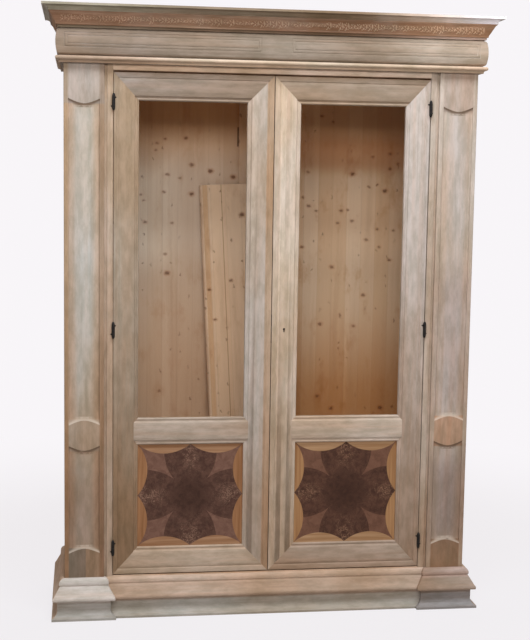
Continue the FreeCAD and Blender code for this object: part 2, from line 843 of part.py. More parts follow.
def hinge_half(level, door_side):
    """Return one half of a screw-in hinge: a pointed barrel with its stud and its pin or bore."""
    outwards = Vector(0, 0, door_side)
    center = Vector(hinge_axis_x, hinge_axis_y, level)
    start = center + outwards * (hinge_half_gap / 2)
    body_length = (hinge_length - hinge_half_gap) / 2 - hinge_tip_length
    shoulder = start + outwards * body_length
    body = prism(start, outwards, hinge_radius, body_length, hinge_sides)
    tip = tapered(shoulder, outwards, hinge_tip_length, hinge_radius,
                  hinge_tip_share * hinge_radius, hinge_sides)
    stud_start = Vector(hinge_axis_x, hinge_axis_y, hinge_stud_level(level, door_side))
    direction = hinge_direction(door_side)
    stud = prism(stud_start + direction * hinge_stud_root, direction, hinge_stud_radius,
                 hinge_stud_length, hinge_stud_sides)
    barrel = body.fuse(tip).fuse(stud).removeSplitter()
    up = Vector(0, 0, 1)
    if door_side > 0:
        clear_radius = (hinge_pin_radius + fit_clearance) / math.cos(math.pi / hinge_sides)
        bore_length = hinge_pin_length + hinge_bore_extra
        return barrel.cut(prism(center, up, clear_radius, bore_length, hinge_sides))
    pin_length = hinge_pin_length + hinge_half_gap
    return barrel.fuse(prism(start, up, hinge_pin_radius, pin_length, hinge_sides))


def make_frame_hinges():
    """Return the halves of all six hinges that are screwed into the face frame."""
    halves = [hinge_half(level, -1) for level in door_levels]
    return Part.makeCompound([mirrored(half) for half in halves] + halves)


def keyhole(depth):
    """Return the keyhole, from the face of the right door's meeting stile to a depth."""
    x = door_inner + lock_backset
    half = keyhole_slot_width / 2
    bore = prism(Vector(x, face_y, lock_z), Vector(0, 1, 0), keyhole_radius, depth, keyhole_sides)
    slot = board(x - half, x + half, face_y, face_y + depth, lock_z - keyhole_slot_drop, lock_z)
    return bore.fuse(slot).removeSplitter()


def lock_block(x_low, x_high, thickness, height, extra=0):
    """Return a block on the lock's middle line, larger all round by extra."""
    half = thickness / 2 + extra
    rise = height / 2 + extra
    return board(x_low, x_high, lock_y - half, lock_y + half, lock_z - rise, lock_z + rise)


def make_lock():
    """Return the mortice lock: its case with the forend, and its bolt drawn back."""
    forend_back = door_inner + forend_thickness
    bolt_end = door_inner + lock_bolt_length
    forend = lock_block(door_inner, forend_back, forend_width, forend_height)
    body = lock_block(forend_back, door_inner + lock_case_depth, lock_case_thickness,
                      lock_case_height)
    channel = lock_block(door_inner, bolt_end + slide_clearance, lock_bolt_thickness,
                         lock_bolt_height, slide_clearance)
    case = forend.fuse(body).removeSplitter().cut(channel)
    bolt = lock_block(door_inner, bolt_end, lock_bolt_thickness, lock_bolt_height)
    return case.cut(keyhole(lock_y - face_y)), bolt


def lock_mortice():
    """Return what is cut out of the right meeting stile for the lock."""
    forend = lock_block(door_inner, door_inner + forend_thickness, forend_width, forend_height)
    case_end = door_inner + lock_case_depth
    body = lock_block(door_inner, case_end, lock_case_thickness, lock_case_height)
    return forend.fuse(body).fuse(keyhole(lock_cover))


def strike_mortice():
    """Return the pocket in the left meeting stile that the lock's bolt shoots into."""
    reach = lock_bolt_travel - meeting_gap + strike_clearance
    return lock_block(-door_inner - reach, -door_inner, lock_bolt_thickness, lock_bolt_height,
                      strike_clearance)


def door_bolt(end_z, direction):
    """Return a flat bolt with its knob, pointing up for direction 1 and down for -1."""
    far_z = end_z - direction * door_bolt_length
    half = door_bolt_width / 2
    bar = board(door_bolt_x - half, door_bolt_x + half, door_bolt_front, door_bolt_back,
                min(end_z, far_z), max(end_z, far_z))
    knob_z = end_z - direction * (guide_tip_inset + guide_plate_length / 2)
    inwards = Vector(0, 1, 0)
    neck_start = Vector(door_bolt_x, door_bolt_back, knob_z)
    neck = prism(neck_start, inwards, bolt_knob_neck_radius, bolt_knob_neck_length, bolt_knob_sides)
    knob_start = neck_start + inwards * bolt_knob_neck_length
    knob = prism(knob_start, inwards, bolt_knob_radius, bolt_knob_length, bolt_knob_sides)
    return bar.fuse(neck).fuse(knob)


def guide(end_z, direction):
    """Return a bolt's guide plate with its two loops."""
    near = end_z - direction * guide_tip_inset
    z_low = min(near, near - direction * guide_plate_length)
    z_high = z_low + guide_plate_length
    plate_back = door_back_y + guide_plate_thickness
    half = guide_plate_width / 2
    shape = board(door_bolt_x - half, door_bolt_x + half, door_back_y, plate_back, z_low, z_high)
    inner = door_bolt_width / 2 + slide_clearance
    inner_back = door_bolt_back + slide_clearance
    for start in (z_low + guide_loop_inset, z_high - guide_loop_inset - guide_loop_length):
        loop = board(door_bolt_x - inner - guide_loop_wall, door_bolt_x + inner + guide_loop_wall,
                     plate_back, inner_back + guide_loop_wall, start, start + guide_loop_length)
        passage = board(door_bolt_x - inner, door_bolt_x + inner, plate_back, inner_back,
                        start, start + guide_loop_length)
        shape = shape.fuse(loop.cut(passage))
    return shape


def make_door_bolts():
    """Return the two bolts that hold the left door shut, and their guides."""
    top_end = top_board_z - door_bolt_end_gap
    bottom_end = cabinet_floor + door_bolt_end_gap
    return {
        "top_bolt": door_bolt(top_end, 1),
        "bottom_bolt": door_bolt(bottom_end, -1),
        "bolt_guides": Part.makeCompound([guide(top_end, 1), guide(bottom_end, -1)]),
    }


def make_doors():
    """Return both doors with their hinges, the lock and the bolts."""
    pieces = {**make_door_frame(), **make_marquetry()}
    pieces["hinge_barrels"] = Part.makeCompound([hinge_half(level, 1) for level in door_levels])
    doors = {}
    for name, shape in pieces.items():
        doors["left_door_" + name] = mirrored(shape)
        doors["right_door_" + name] = shape
    case, bolt = make_lock()
    right_stile = doors["right_door_meeting_stile"]
    left_stile = doors["left_door_meeting_stile"]
    doors["right_door_meeting_stile"] = right_stile.cut(lock_mortice())
    doors["left_door_meeting_stile"] = left_stile.cut(strike_mortice())
    doors["lock_case"] = case
    doors["lock_bolt"] = bolt
    return {**doors, **make_door_bolts()}


def make_shelf():
    """Return the loose shelf, stood on its end inside and leaning against the batten."""
    length = 2 * (inner_half_width - shelf_end_gap)
    thickness = shelf_thickness
    edge = nosing_drop + nosing_round
    section = [(nosing_width, 0), (nosing_width, nosing_drop), (edge, nosing_drop),
               quarter((edge, nosing_drop), (0, thickness), (0, nosing_drop)),
               (shelf_width, thickness), (shelf_width, 0)]
    shape = outline(section, lambda x, y: Vector(x, y, 0)).extrude(Vector(0, 0, length))
    aside = FreeCAD.Rotation(Vector(0, 1, 0), -shelf_side_lean)
    back = FreeCAD.Rotation(Vector(1, 0, 0), -shelf_back_lean)
    turn = back * aside
    foot = turn.multVec(Vector(0, thickness, 0))
    top = turn.multVec(Vector(shelf_width, thickness, length))
    shift = Vector(shelf_foot_x, batten_y - seat_gap - top.y, cabinet_floor + seat_gap - foot.z)
    shape.Placement = FreeCAD.Placement(shift, turn)
    return {"loose_shelf": shape}


def make_all():
    """Return every node of the cabinet by name."""
    nodes = {}
    for make in (make_carcass, make_face_frame, make_pilasters, make_plinth, make_cornice,
                 make_doors, make_shelf):
        nodes.update(make())
    nodes["frame_hinge_barrels"] = make_frame_hinges()
    return nodes


os.makedirs("parts", exist_ok=True)
for node, shape in make_all().items():
    shape.exportStep(f"parts/{node}.step")
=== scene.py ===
"""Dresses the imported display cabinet: raw wood, marquetry, iron hinges, soft light and a camera."""

from __future__ import annotations

import json
import logging
import math
from dataclasses import dataclass, field
from enum import Enum

import bmesh
import bpy
from mathutils import Matrix, Vector

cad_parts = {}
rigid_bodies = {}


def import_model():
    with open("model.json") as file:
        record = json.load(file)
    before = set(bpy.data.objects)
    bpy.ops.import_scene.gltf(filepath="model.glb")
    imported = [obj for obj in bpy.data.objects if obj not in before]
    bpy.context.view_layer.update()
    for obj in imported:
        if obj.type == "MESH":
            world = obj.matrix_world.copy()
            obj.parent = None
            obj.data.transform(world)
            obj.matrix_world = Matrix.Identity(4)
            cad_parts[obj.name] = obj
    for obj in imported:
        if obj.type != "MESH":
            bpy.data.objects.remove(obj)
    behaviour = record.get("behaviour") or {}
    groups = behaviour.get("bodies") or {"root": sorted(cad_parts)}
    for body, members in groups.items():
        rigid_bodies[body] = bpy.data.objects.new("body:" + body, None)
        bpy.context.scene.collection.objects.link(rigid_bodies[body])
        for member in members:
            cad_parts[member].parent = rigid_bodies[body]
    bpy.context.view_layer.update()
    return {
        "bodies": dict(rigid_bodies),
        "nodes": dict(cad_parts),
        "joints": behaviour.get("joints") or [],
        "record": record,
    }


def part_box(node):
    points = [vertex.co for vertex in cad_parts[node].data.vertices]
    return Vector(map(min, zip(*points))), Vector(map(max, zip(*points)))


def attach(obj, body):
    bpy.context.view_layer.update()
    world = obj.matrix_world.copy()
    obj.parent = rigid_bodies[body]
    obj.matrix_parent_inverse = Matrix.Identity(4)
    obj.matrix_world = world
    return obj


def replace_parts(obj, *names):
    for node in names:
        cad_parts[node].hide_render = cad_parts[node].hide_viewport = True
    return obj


LOG = logging.getLogger("cabinet")
Pair = tuple[float, float]
Colour = tuple[float, float, float]
Point = tuple[float, float, float]
KnotRow = tuple[float, float, float, float]
Socket = bpy.types.NodeSocket
HALF: Point = (0.5, 0.5, 0.5)
PLAIN: Colour = (1.0, 1.0, 1.0)


def rgba(colour: Colour) -> tuple[float, float, float, float]:
    """Return a colour with full alpha."""
    return (*colour, 1.0)


class Graph:
    """Fills a node tree with short calls, whose values are sockets, numbers or vectors."""

    def __init__(self, tree: bpy.types.NodeTree) -> None:
        """Keep the tree that is filled."""
        self.tree = tree

    def feed(self, node: bpy.types.Node, inputs: dict) -> None:
        """Link or set a node's inputs.

        Args:
            node: the node.
            inputs: values or sockets by the input's name or number.
        """
        for key, value in inputs.items():
            if isinstance(value, Socket):
                self.tree.links.new(value, node.inputs[key])
            else:
                node.inputs[key].default_value = value

    def add(self, kind: str, inputs: dict | None = None, **settings: object) -> bpy.types.Node:
        """Add a node.

        Args:
            kind: the node's type name.
            inputs: values or sockets by the input's name or number.
            **settings: the node's own properties.

        Returns:
            The new node.
        """
        node = self.tree.nodes.new(kind)
        for name, value in settings.items():
            setattr(node, name, value)
        self.feed(node, inputs or {})
        return node

    def math(self, operation: str, first: object, second: object = 0.0) -> Socket:
        """Return the result of a math node."""
        return self.add("ShaderNodeMath", {0: first, 1: second}, operation=operation).outputs[0]

    def plus(self, first: object, second: object) -> Socket:
        """Return the sum of two numbers."""
        return self.math("ADD", first, second)

    def times(self, first: object, second: object) -> Socket:
        """Return the product of two numbers."""
        return self.math("MULTIPLY", first, second)

    def vector(self, operation: str, first: object, second: object = (0, 0, 0)) -> Socket:
        """Return the vector result of a vector math node."""
        node = self.add("ShaderNodeVectorMath", {0: first, 1: second}, operation=operation)
        return node.outputs[0]

    def moved(self, first: object, second: object) -> Socket:
        """Return the sum of two vectors."""
        return self.vector("ADD", first, second)

    def scaled(self, first: object, second: object) -> Socket:
        """Return two vectors multiplied part by part."""
        return self.vector("MULTIPLY", first, second)

    def length(self, vector: object) -> Socket:
        """Return the length of a vector."""
        return self.add("ShaderNodeVectorMath", {0: vector}, operation="LENGTH").outputs[1]

    def parts(self, vector: object) -> bpy.types.NodeOutputs:
        """Return a vector's X, Y and Z."""
        return self.add("ShaderNodeSeparateXYZ", {0: vector}).outputs

    def join(self, x: object = 0.0, y: object = 0.0, z: object = 0.0) -> Socket:
        """Return the vector of three numbers."""
        return self.add("ShaderNodeCombineXYZ", {0: x, 1: y, 2: z}).outputs[0]

    def ramp(self, value: object, low: float, high: float) -> Socket:
        """Return a smooth step of a value, from 0 at low to 1 at high."""
        node = self.add("ShaderNodeMapRange", {0: value, 1: low, 2: high},
                        interpolation_type="SMOOTHSTEP")
        return node.outputs[0]

    def mix(self, amount: object, first: object, second: object, blend: str = "MIX") -> Socket:
        """Return the mix of two colours."""
        node = self.add("ShaderNodeMix", {0: amount, 6: first, 7: second},
                        data_type="RGBA", blend_type=blend)
        return node.outputs[2]

    def tint(self, base: object, colour: object) -> Socket:
        """Return a colour multiplied by another."""
        return self.mix(1.0, base, colour, "MULTIPLY")

    def lay(self, base: object, mask: object, share: float, colour: Colour) -> Socket:
        """Return a base with a share of a colour laid over it where the mask is."""
        return self.mix(self.times(mask, share), base, rgba(colour))

    def noise(self, vector: object, scale: object, detail: float = 2.0, roughness: float = 0.5,
              output: int = 0) -> Socket:
        """Return a noise texture's value, or its colour with output 1."""
        return self.add("ShaderNodeTexNoise", {
            "Vector": self.scaled(vector, scale), "Scale": 1.0, "Detail": detail,
            "Roughness": roughness}).outputs[output]

    def group(self, tree: bpy.types.NodeTree, inputs: dict) -> bpy.types.NodeOutputs:
        """Place a shared group and return its outputs."""
        return self.add("ShaderNodeGroup", inputs, node_tree=tree).outputs


class Kind(Enum):
    """The kinds of socket that a tree's inputs and outputs have."""

    FLOAT = "NodeSocketFloat"
    INTEGER = "NodeSocketInt"
    VECTOR = "NodeSocketVector"
    COLOUR = "NodeSocketColor"
    GEOMETRY = "NodeSocketGeometry"
    OBJECT = "NodeSocketObject"
    MATERIAL = "NodeSocketMaterial"


def new_tree(name: str, tree_type: str, inputs: dict[str, Kind],
             outputs: dict[str, Kind]) -> tuple[Graph, bpy.types.NodeOutputs]:
    """Start a node tree with named inputs and outputs.

    Args:
        name: the tree's name.
        tree_type: ShaderNodeTree or GeometryNodeTree.
        inputs: the kinds by input name.
        outputs: the kinds by output name.

    Returns:
        The tree's graph and its inputs.
    """
    tree = bpy.data.node_groups.new(name, tree_type)
    for way, sockets in (("INPUT", inputs), ("OUTPUT", outputs)):
        for title, kind in sockets.items():
            tree.interface.new_socket(title, in_out=way, socket_type=kind.value)
    g = Graph(tree)
    return g, g.add("NodeGroupInput").outputs


def zone_group() -> bpy.types.NodeTree:
    """Build a tinted part of a board, between two corners in the elevation; in most uses it paints light
    and shade, in some the wood's own tone.

    Returns:
        The group: the colour, tinted between the corners.
    """
    g, source = new_tree("Board zone", "ShaderNodeTree", {
        "Vector": Kind.VECTOR, "Colour": Kind.COLOUR, "Low": Kind.VECTOR, "High": Kind.VECTOR,
        "Soft": Kind.FLOAT, "Tint": Kind.COLOUR}, {"Colour": Kind.COLOUR})
    above = g.parts(g.vector("SUBTRACT", source["Vector"], source["Low"]))
    below = g.parts(g.vector("SUBTRACT", source["High"], source["Vector"]))
    inside = g.math("MINIMUM", g.math("MINIMUM", above[0], below[0]),
                    g.math("MINIMUM", above[2], below[2]))
    share = g.ramp(g.math("DIVIDE", inside, source["Soft"]), -1.0, 1.0)
    tinted = g.tint(source["Colour"], source["Tint"])
    g.add("NodeGroupOutput", {"Colour": g.mix(share, source["Colour"], tinted)})
    return g.tree


def grain_group() -> bpy.types.NodeTree:
    """Build the long grain of a board, which runs along the vector's Z.

    Returns:
        The group: streaks, fine lines, wide patches and the height of the surface.
    """
    g, source = new_tree("Long grain", "ShaderNodeTree", {
        "Vector": Kind.VECTOR, "Seed": Kind.FLOAT, "Streak Width": Kind.FLOAT,
        "Line Width": Kind.FLOAT}, dict.fromkeys(("Streaks", "Lines", "Patches", "Height"),
                                                 Kind.FLOAT))
    place = g.moved(source["Vector"], g.scaled(source["Seed"], (1.37, 2.11, 0.53)))
    bend = g.vector("SUBTRACT", g.noise(place, (2.2, 2.2, 0.9), 1.0, output=1), HALF)
    bent = g.moved(place, g.scaled(bend, (0.05, 0.05, 0.0)))
    streak_scale = g.scaled(g.math("DIVIDE", 1.0, source["Streak Width"]), (1.0, 1.0, 0.03))
    line_scale = g.scaled(g.math("DIVIDE", 1.0, source["Line Width"]), (1.0, 1.0, 0.012))
    lines = g.noise(bent, line_scale, 3.0, 0.6)
    pores = g.noise(bent, (900.0, 900.0, 14.0), 1.0)
    g.add("NodeGroupOutput", {
        "Streaks": g.noise(bent, streak_scale, 3.0, 0.55), "Lines": lines,
        "Patches": g.noise(place, (3.5, 3.5, 1.3)),
        "Height": g.plus(g.times(lines, 0.7), g.times(pores, 0.3))})
    return g.tree


def knot_group() -> bpy.types.NodeTree:
    """Build one knot, which passes on what the knots before it have marked.

    Returns:
        The group: the vector bent round the knot, the dark cores and the halos round them.
    """
    g, source = new_tree("Knot", "ShaderNodeTree", {
        "Vector": Kind.VECTOR, "Centre": Kind.VECTOR, "Size": Kind.FLOAT, "Depth": Kind.FLOAT,
        "Cores": Kind.FLOAT, "Halos": Kind.FLOAT}, {
        "Vector": Kind.VECTOR, "Cores": Kind.FLOAT, "Halos": Kind.FLOAT})
    offset = g.scaled(g.vector("SUBTRACT", source["Vector"], source["Centre"]), (0.85, 0.0, 1.1))
    reach = g.math("DIVIDE", g.length(offset), source["Size"])
    core = g.times(source["Depth"], g.ramp(reach, 1.05, 0.45))
    halo = g.times(source["Depth"], g.ramp(reach, 1.9, 0.7))
    push = g.times(g.ramp(reach, 5.0, 0.3), -0.45)
    g.add("NodeGroupOutput", {"Vector": g.moved(source["Vector"], g.scaled(offset, push)),
                              "Cores": g.math("MAXIMUM", source["Cores"], core),
                              "Halos": g.math("MAXIMUM", source["Halos"], halo)})
    return g.tree


def wear_group() -> bpy.types.NodeTree:
    """Build handling marks: rubbed arrises and a thin, uneven film of dust.

    Returns:
        The group: a mask of the rubbed arrises and one of the dust.
    """
    g, source = new_tree("Handling", "ShaderNodeTree", {"Vector": Kind.VECTOR, "Rub": Kind.FLOAT},
                         {"Arrises": Kind.FLOAT, "Dust": Kind.FLOAT})
    eased = g.add("ShaderNodeAttribute", attribute_name="eased").outputs[2]
    patches = g.ramp(g.noise(source["Vector"], (14.0, 14.0, 14.0)), 0.3, 0.7)
    dust = g.ramp(g.noise(source["Vector"], (6.0, 6.0, 6.0), 4.0, 0.65), 0.45, 0.8)
    g.add("NodeGroupOutput", {"Arrises": g.times(g.times(eased, patches), source["Rub"]),
                              "Dust": dust})
    return g.tree


@dataclass
class Groups:
    """The node groups that the finishes share."""

    grain: bpy.types.NodeTree = field(default_factory=grain_group)
    knot: bpy.types.NodeTree = field(default_factory=knot_group)
    wear: bpy.types.NodeTree = field(default_factory=wear_group)
    zone: bpy.types.NodeTree = field(default_factory=zone_group)


class Grain(Enum):
    """The way that a board's grain runs, as the turn that brings it upright."""

    UPRIGHT = (0.0, 0.0, 0.0)
    ACROSS = (0.0, math.pi / 2, 0.0)
    DEEP = (math.pi / 2, 0.0, 0.0)


@dataclass(frozen=True)
class Zone:
    """A tinted part of a board, which paints light and shade in most uses and the wood's own tone in some:
    two corners (x, z), the tint, how soft its edge is.
    """

    low: Pair
    high: Pair
    tint: Colour
    soft: float = 0.006


class Surface(Graph):
    """A material that is being built, with its shader and the object coordinates."""

    def __init__(self, name: str, groups: Groups | None = None) -> None:
        """Start the material.

        Args:
            name: the material's name.
            groups: the shared node groups.
        """
        self.material = bpy.data.materials.new(name)
        self.material.use_nodes = True
        super().__init__(self.material.node_tree)
        self.tree.nodes.clear()
        self.groups = groups
        self.shader = self.add("ShaderNodeBsdfPrincipled")
        self.output = self.add("ShaderNodeOutputMaterial", {0: self.shader.outputs[0]},
                               target="ALL")
        self.place = self.add("ShaderNodeTexCoord").outputs["Object"]

    def turned(self, turn: Point) -> Socket:
        """Return the object coordinates, turned."""
        return self.add("ShaderNodeMapping", {0: self.place, 2: turn}).outputs[0]

    def normal(self) -> bpy.types.NodeOutputs:
        """Return the parts of the faces' normal."""
        return self.parts(self.add("ShaderNodeNewGeometry").outputs["True Normal"])

    def grained(self, vector: Socket, seed: float, streak: float,
                line: float) -> bpy.types.NodeOutputs:
        """Return the outputs of the long grain, by its seed and its widths."""
        return self.group(self.groups.grain, {"Vector": vector, "Seed": seed,
                                              "Streak Width": streak, "Line Width": line})

    def worn(self, rub: float) -> bpy.types.NodeOutputs:
        """Return the outputs of the handling marks."""
        return self.group(self.groups.wear, {"Vector": self.place, "Rub": rub})

    def zoned(self, base: Socket, place: Socket, zones: tuple[Zone, ...]) -> Socket:
        """Tint the zones of a board.

        Args:
            base: the colour so far.
            place: the object coordinates.
            zones: the zones, each laid over the ones before it.

        Returns:
            The tinted colour.
        """
        for zone in zones:
            base = self.group(self.groups.zone, {
                "Vector": place, "Colour": base, "Low": (zone.low[0], 0.0, zone.low[1]),
                "High": (zone.high[0], 0.0, zone.high[1]), "Soft": zone.soft,
                "Tint": rgba(zone.tint)})[0]
        return base

    def finish(self, base: Socket, roughness: Pair, spread: Socket, specular: float,
               height: Socket, relief: Pair) -> None:
        """Feed the shader.

        Args:
            base: the colour.
            roughness: the least roughness, and what the spread adds to it.
            spread: what makes the roughness vary.
            specular: the specular level.
            height: the height of the relief.
            relief: how strong the relief is, and how high in metres.
        """
        bump = self.add("ShaderNodeBump", {"Strength": relief[0], "Distance": relief[1],
                                           "Height": height})
        self.feed(self.shader, {
            "Base Color": base, "Specular IOR Level": specular, "Normal": bump.outputs[0],
            "Roughness": self.plus(roughness[0], self.times(spread, roughness[1]))})

    def share_with(self, share: Socket, other: bpy.types.Node) -> None:
        """Let another shader take a share of the surface."""
        both = self.add("ShaderNodeMixShader", {0: share, 1: self.shader.outputs[0],
                                                2: other.outputs[0]})
        self.feed(self.output, {0: both.outputs[0]})


@dataclass(frozen=True)
class Finish:
    """What every finish has: a name, and a way to paint its material."""

    name: str

    def make(self, groups: Groups) -> bpy.types.Material:
        """Build the material.

        Args:
            groups: the shared node groups.

        Returns:
            The material.
        """
        surface = Surface(self.name, groups)
        self.paint(surface)
        return surface.material

    def paint(self, s: Surface) -> None:
        """Paint a surface, which each finish does in its own way."""
        raise NotImplementedError


@dataclass(frozen=True)
class RawWood(Finish):
    """Unfinished planed wood, from brown through tan to pale grey."""

    grain: Grain = Grain.UPRIGHT
    seed: float = 0.0
    pale: float = 0.5
    tan: Colour = (0.45, 0.325, 0.225)
    grey: Colour = (0.60, 0.53, 0.475)
    tinge: Colour = (0.56, 0.40, 0.30)
    tinge_share: float = 0.45
    streak: Colour = (0.30, 0.21, 0.145)
    streak_depth: float = 0.35
    line_depth: float = 0.13
    smear: tuple[Colour, Colour] = ((0.84, 0.84, 0.80), (1.13, 1.12, 1.13))
    rubbed: Colour = (0.64, 0.57, 0.5)
    dust: Colour = (0.60, 0.56, 0.52)
    level: Colour = PLAIN
    # Painted shade towards the floor: its tint, and the heights between which it comes in.
    low_shade_tint: Colour = (0.8, 0.7, 0.61)
    low_shade_span: Pair = (0.25, 1.45)
    zones: tuple[Zone, ...] = ()
    # Painted light and shade on the pilasters' run-outs: the face's y, and the tints of the faces that look
    # up and down.
    run_out_face: float | None = None
    run_out_highlight: Colour = (0.80, 0.70, 0.60)
    run_out_shade: Colour = (0.15, 0.095, 0.06)

    def paint(self, s: Surface) -> None:
        """Lay the wood's tones over one another.

        Args:
            s: the surface that is painted.
        """
        turned = s.turned(self.grain.value)
        grain = s.grained(turned, self.seed, 0.022, 0.0034)
        middle = 0.5 + (0.5 - self.pale) * 0.5
        base = s.mix(s.ramp(grain["Patches"], middle - 0.18, middle + 0.18), rgba(self.tan),
                     rgba(self.grey))
        base = s.lay(base, s.ramp(grain["Streaks"], 0.42, 0.68), self.tinge_share, self.tinge)
        base = s.lay(base, s.ramp(grain["Streaks"], 0.46, 0.26), self.streak_depth, self.streak)
        base = s.lay(base, s.ramp(grain["Lines"], 0.55, 0.3), self.line_depth, self.streak)
        smears = s.ramp(s.noise(turned, (38.0, 38.0, 11.0), 5.0, 0.68), 0.32, 0.68)
        base = s.tint(base, s.mix(smears, rgba(self.smear[0]), rgba(self.smear[1])))
        wear = s.worn(0.5)
        base = s.mix(wear["Arrises"], base, rgba(self.rubbed))
        base = s.lay(base, wear["Dust"], 0.18, self.dust)
        place = s.parts(s.place)
        # Painted shade: the wood grows darker and warmer from 1.45 m down to 0.25 m, standing in for the
        # light falling off towards the floor.
        wander = s.times(s.math("SUBTRACT", grain["Patches"], 0.5), 0.8)
        low = s.ramp(s.plus(place[2], wander), *reversed(self.low_shade_span))
        base = s.mix(low, base, s.tint(base, rgba(self.low_shade_tint)))
        # The level and the zones tint the piece; on many pieces they are painted light and shade.
        base = s.zoned(s.tint(base, rgba(self.level)), s.place, self.zones)
        # Painted light and shade: near the face, run-outs that look up are lightened and those that look
        # down are darkened.
        if self.run_out_face is not None:
            slope = s.normal()[2]
            lip = s.ramp(s.math("SUBTRACT", place[1], self.run_out_face), 0.0048, 0.0012)
            base = s.lay(base, s.times(s.ramp(slope, 0.03, 0.09), lip), 0.42, self.run_out_highlight)
            base = s.lay(base, s.times(s.ramp(slope, -0.03, -0.12), lip), 0.85, self.run_out_shade)
        s.finish(base, (0.62, 0.25), grain["Lines"], 0.3, grain["Height"], (0.25, 0.0006))


@dataclass(frozen=True)
class KnottyPine(Finish):
    """Pine glued up from narrow staves, each of its own tone, with knots.

    Each knot is a row with its place (x, z), its size in millimetres and how dark it is.
    """

    grain: Grain = Grain.UPRIGHT
    seed: float = 0.0
    stave: float = 0.0585
    first_seam: float = 0.217
    knots: tuple[KnotRow, ...] = ()
    pale: Colour = (0.54, 0.40, 0.29)
    warm: Colour = (0.47, 0.305, 0.185)
    line: Colour = (0.36, 0.195, 0.095)
    blotch: Colour = (0.47, 0.25, 0.115)
    blotches: float = 0.35
    speck: Colour = (0.2, 0.085, 0.035)
    seam: Colour = (0.2, 0.11, 0.055)
    halo: Colour = (0.42, 0.18, 0.075)
    core: Colour = (0.11, 0.038, 0.016)
    rubbed: Colour = (0.62, 0.5, 0.38)
    turn: float = 0.0
    zones: tuple[Zone, ...] = ()

    def paint(self, s: Surface) -> None:
        """Lay the staves, their grain and the knots over one another.

        Args:
            s: the surface that is painted.
        """
        rotation = self.grain.value
        turned = s.turned((rotation[0], rotation[1] + self.turn, rotation[2]))
        ragged = s.vector("SUBTRACT", s.noise(turned, (90.0, 90.0, 90.0), output=1), HALF)
        vector = s.moved(turned, s.scaled(ragged, (0.011, 0.0, 0.009)))
        cores, halos = 0.0, 0.0
        for x, z, size, depth in self.knots:
            centre = Vector((x, 0.0, z))
            centre.rotate(Matrix.Rotation(self.turn, 3, "Y"))
            vector, cores, halos = s.group(s.groups.knot, {
                "Vector": vector, "Centre": centre, "Size": size / 1000, "Depth": depth,
                "Cores": cores, "Halos": halos})
        place = s.parts(turned)
        count = s.math("DIVIDE", s.math("SUBTRACT", place[0], self.first_seam), self.stave)
        toss = s.add("ShaderNodeTexWhiteNoise", {"W": s.plus(s.math("FLOOR", count), self.seed)},
                     noise_dimensions="1D").outputs[0]
        grain = s.grained(s.moved(vector, s.join(s.times(toss, 3.0), 0.0, toss)), self.seed,
                          0.035, 0.0042)
        tone = s.plus(s.times(toss, 0.5), s.times(grain["Patches"], 0.6))
        base = s.mix(s.ramp(tone, 0.15, 0.95), rgba(self.pale), rgba(self.warm))
        base = s.lay(base, s.ramp(grain["Lines"], 0.42, 0.78), 0.1, self.line)
        base = s.lay(base, s.ramp(grain["Streaks"], 0.46, 0.78), 0.28, self.line)
        stains = s.noise(vector, (16.0, 1.0, 7.0), 5.0, 0.65)
        base = s.lay(base, s.ramp(stains, 0.5, 0.72), self.blotches, self.blotch)
        flat = s.join(s.times(place[0], 27.0), s.times(place[2], 17.0))
        cells = s.add("ShaderNodeTexVoronoi", {
            "Vector": s.moved(flat, s.scaled(ragged, (0.5, 0.5, 0.0))), "Scale": 1.0},
                      voronoi_dimensions="2D").outputs
        specks = s.times(s.ramp(cells[0], 0.12, 0.05), s.ramp(s.parts(cells[1])[0], 0.62, 0.9))
        base = s.lay(base, specks, 0.6, self.speck)
        edge = s.math("PINGPONG", count, 0.5)
        base = s.lay(base, s.ramp(edge, 0.024, 0.006), 0.14, self.seam)
        base = s.lay(base, halos, 0.6, self.halo)
        base = s.lay(base, cores, 0.85, self.core)
        base = s.mix(s.worn(0.35)["Arrises"], base, rgba(self.rubbed))
        # The zones, most of them painted light and shade, go only on faces that don't look towards +Y.
        outside = s.math("LESS_THAN", s.normal()[1], 0.5)
        base = s.mix(outside, base, s.zoned(base, turned, self.zones))
        s.finish(base, (0.6, 0.2), grain["Lines"], 0.3, grain["Height"], (0.12, 0.0005))


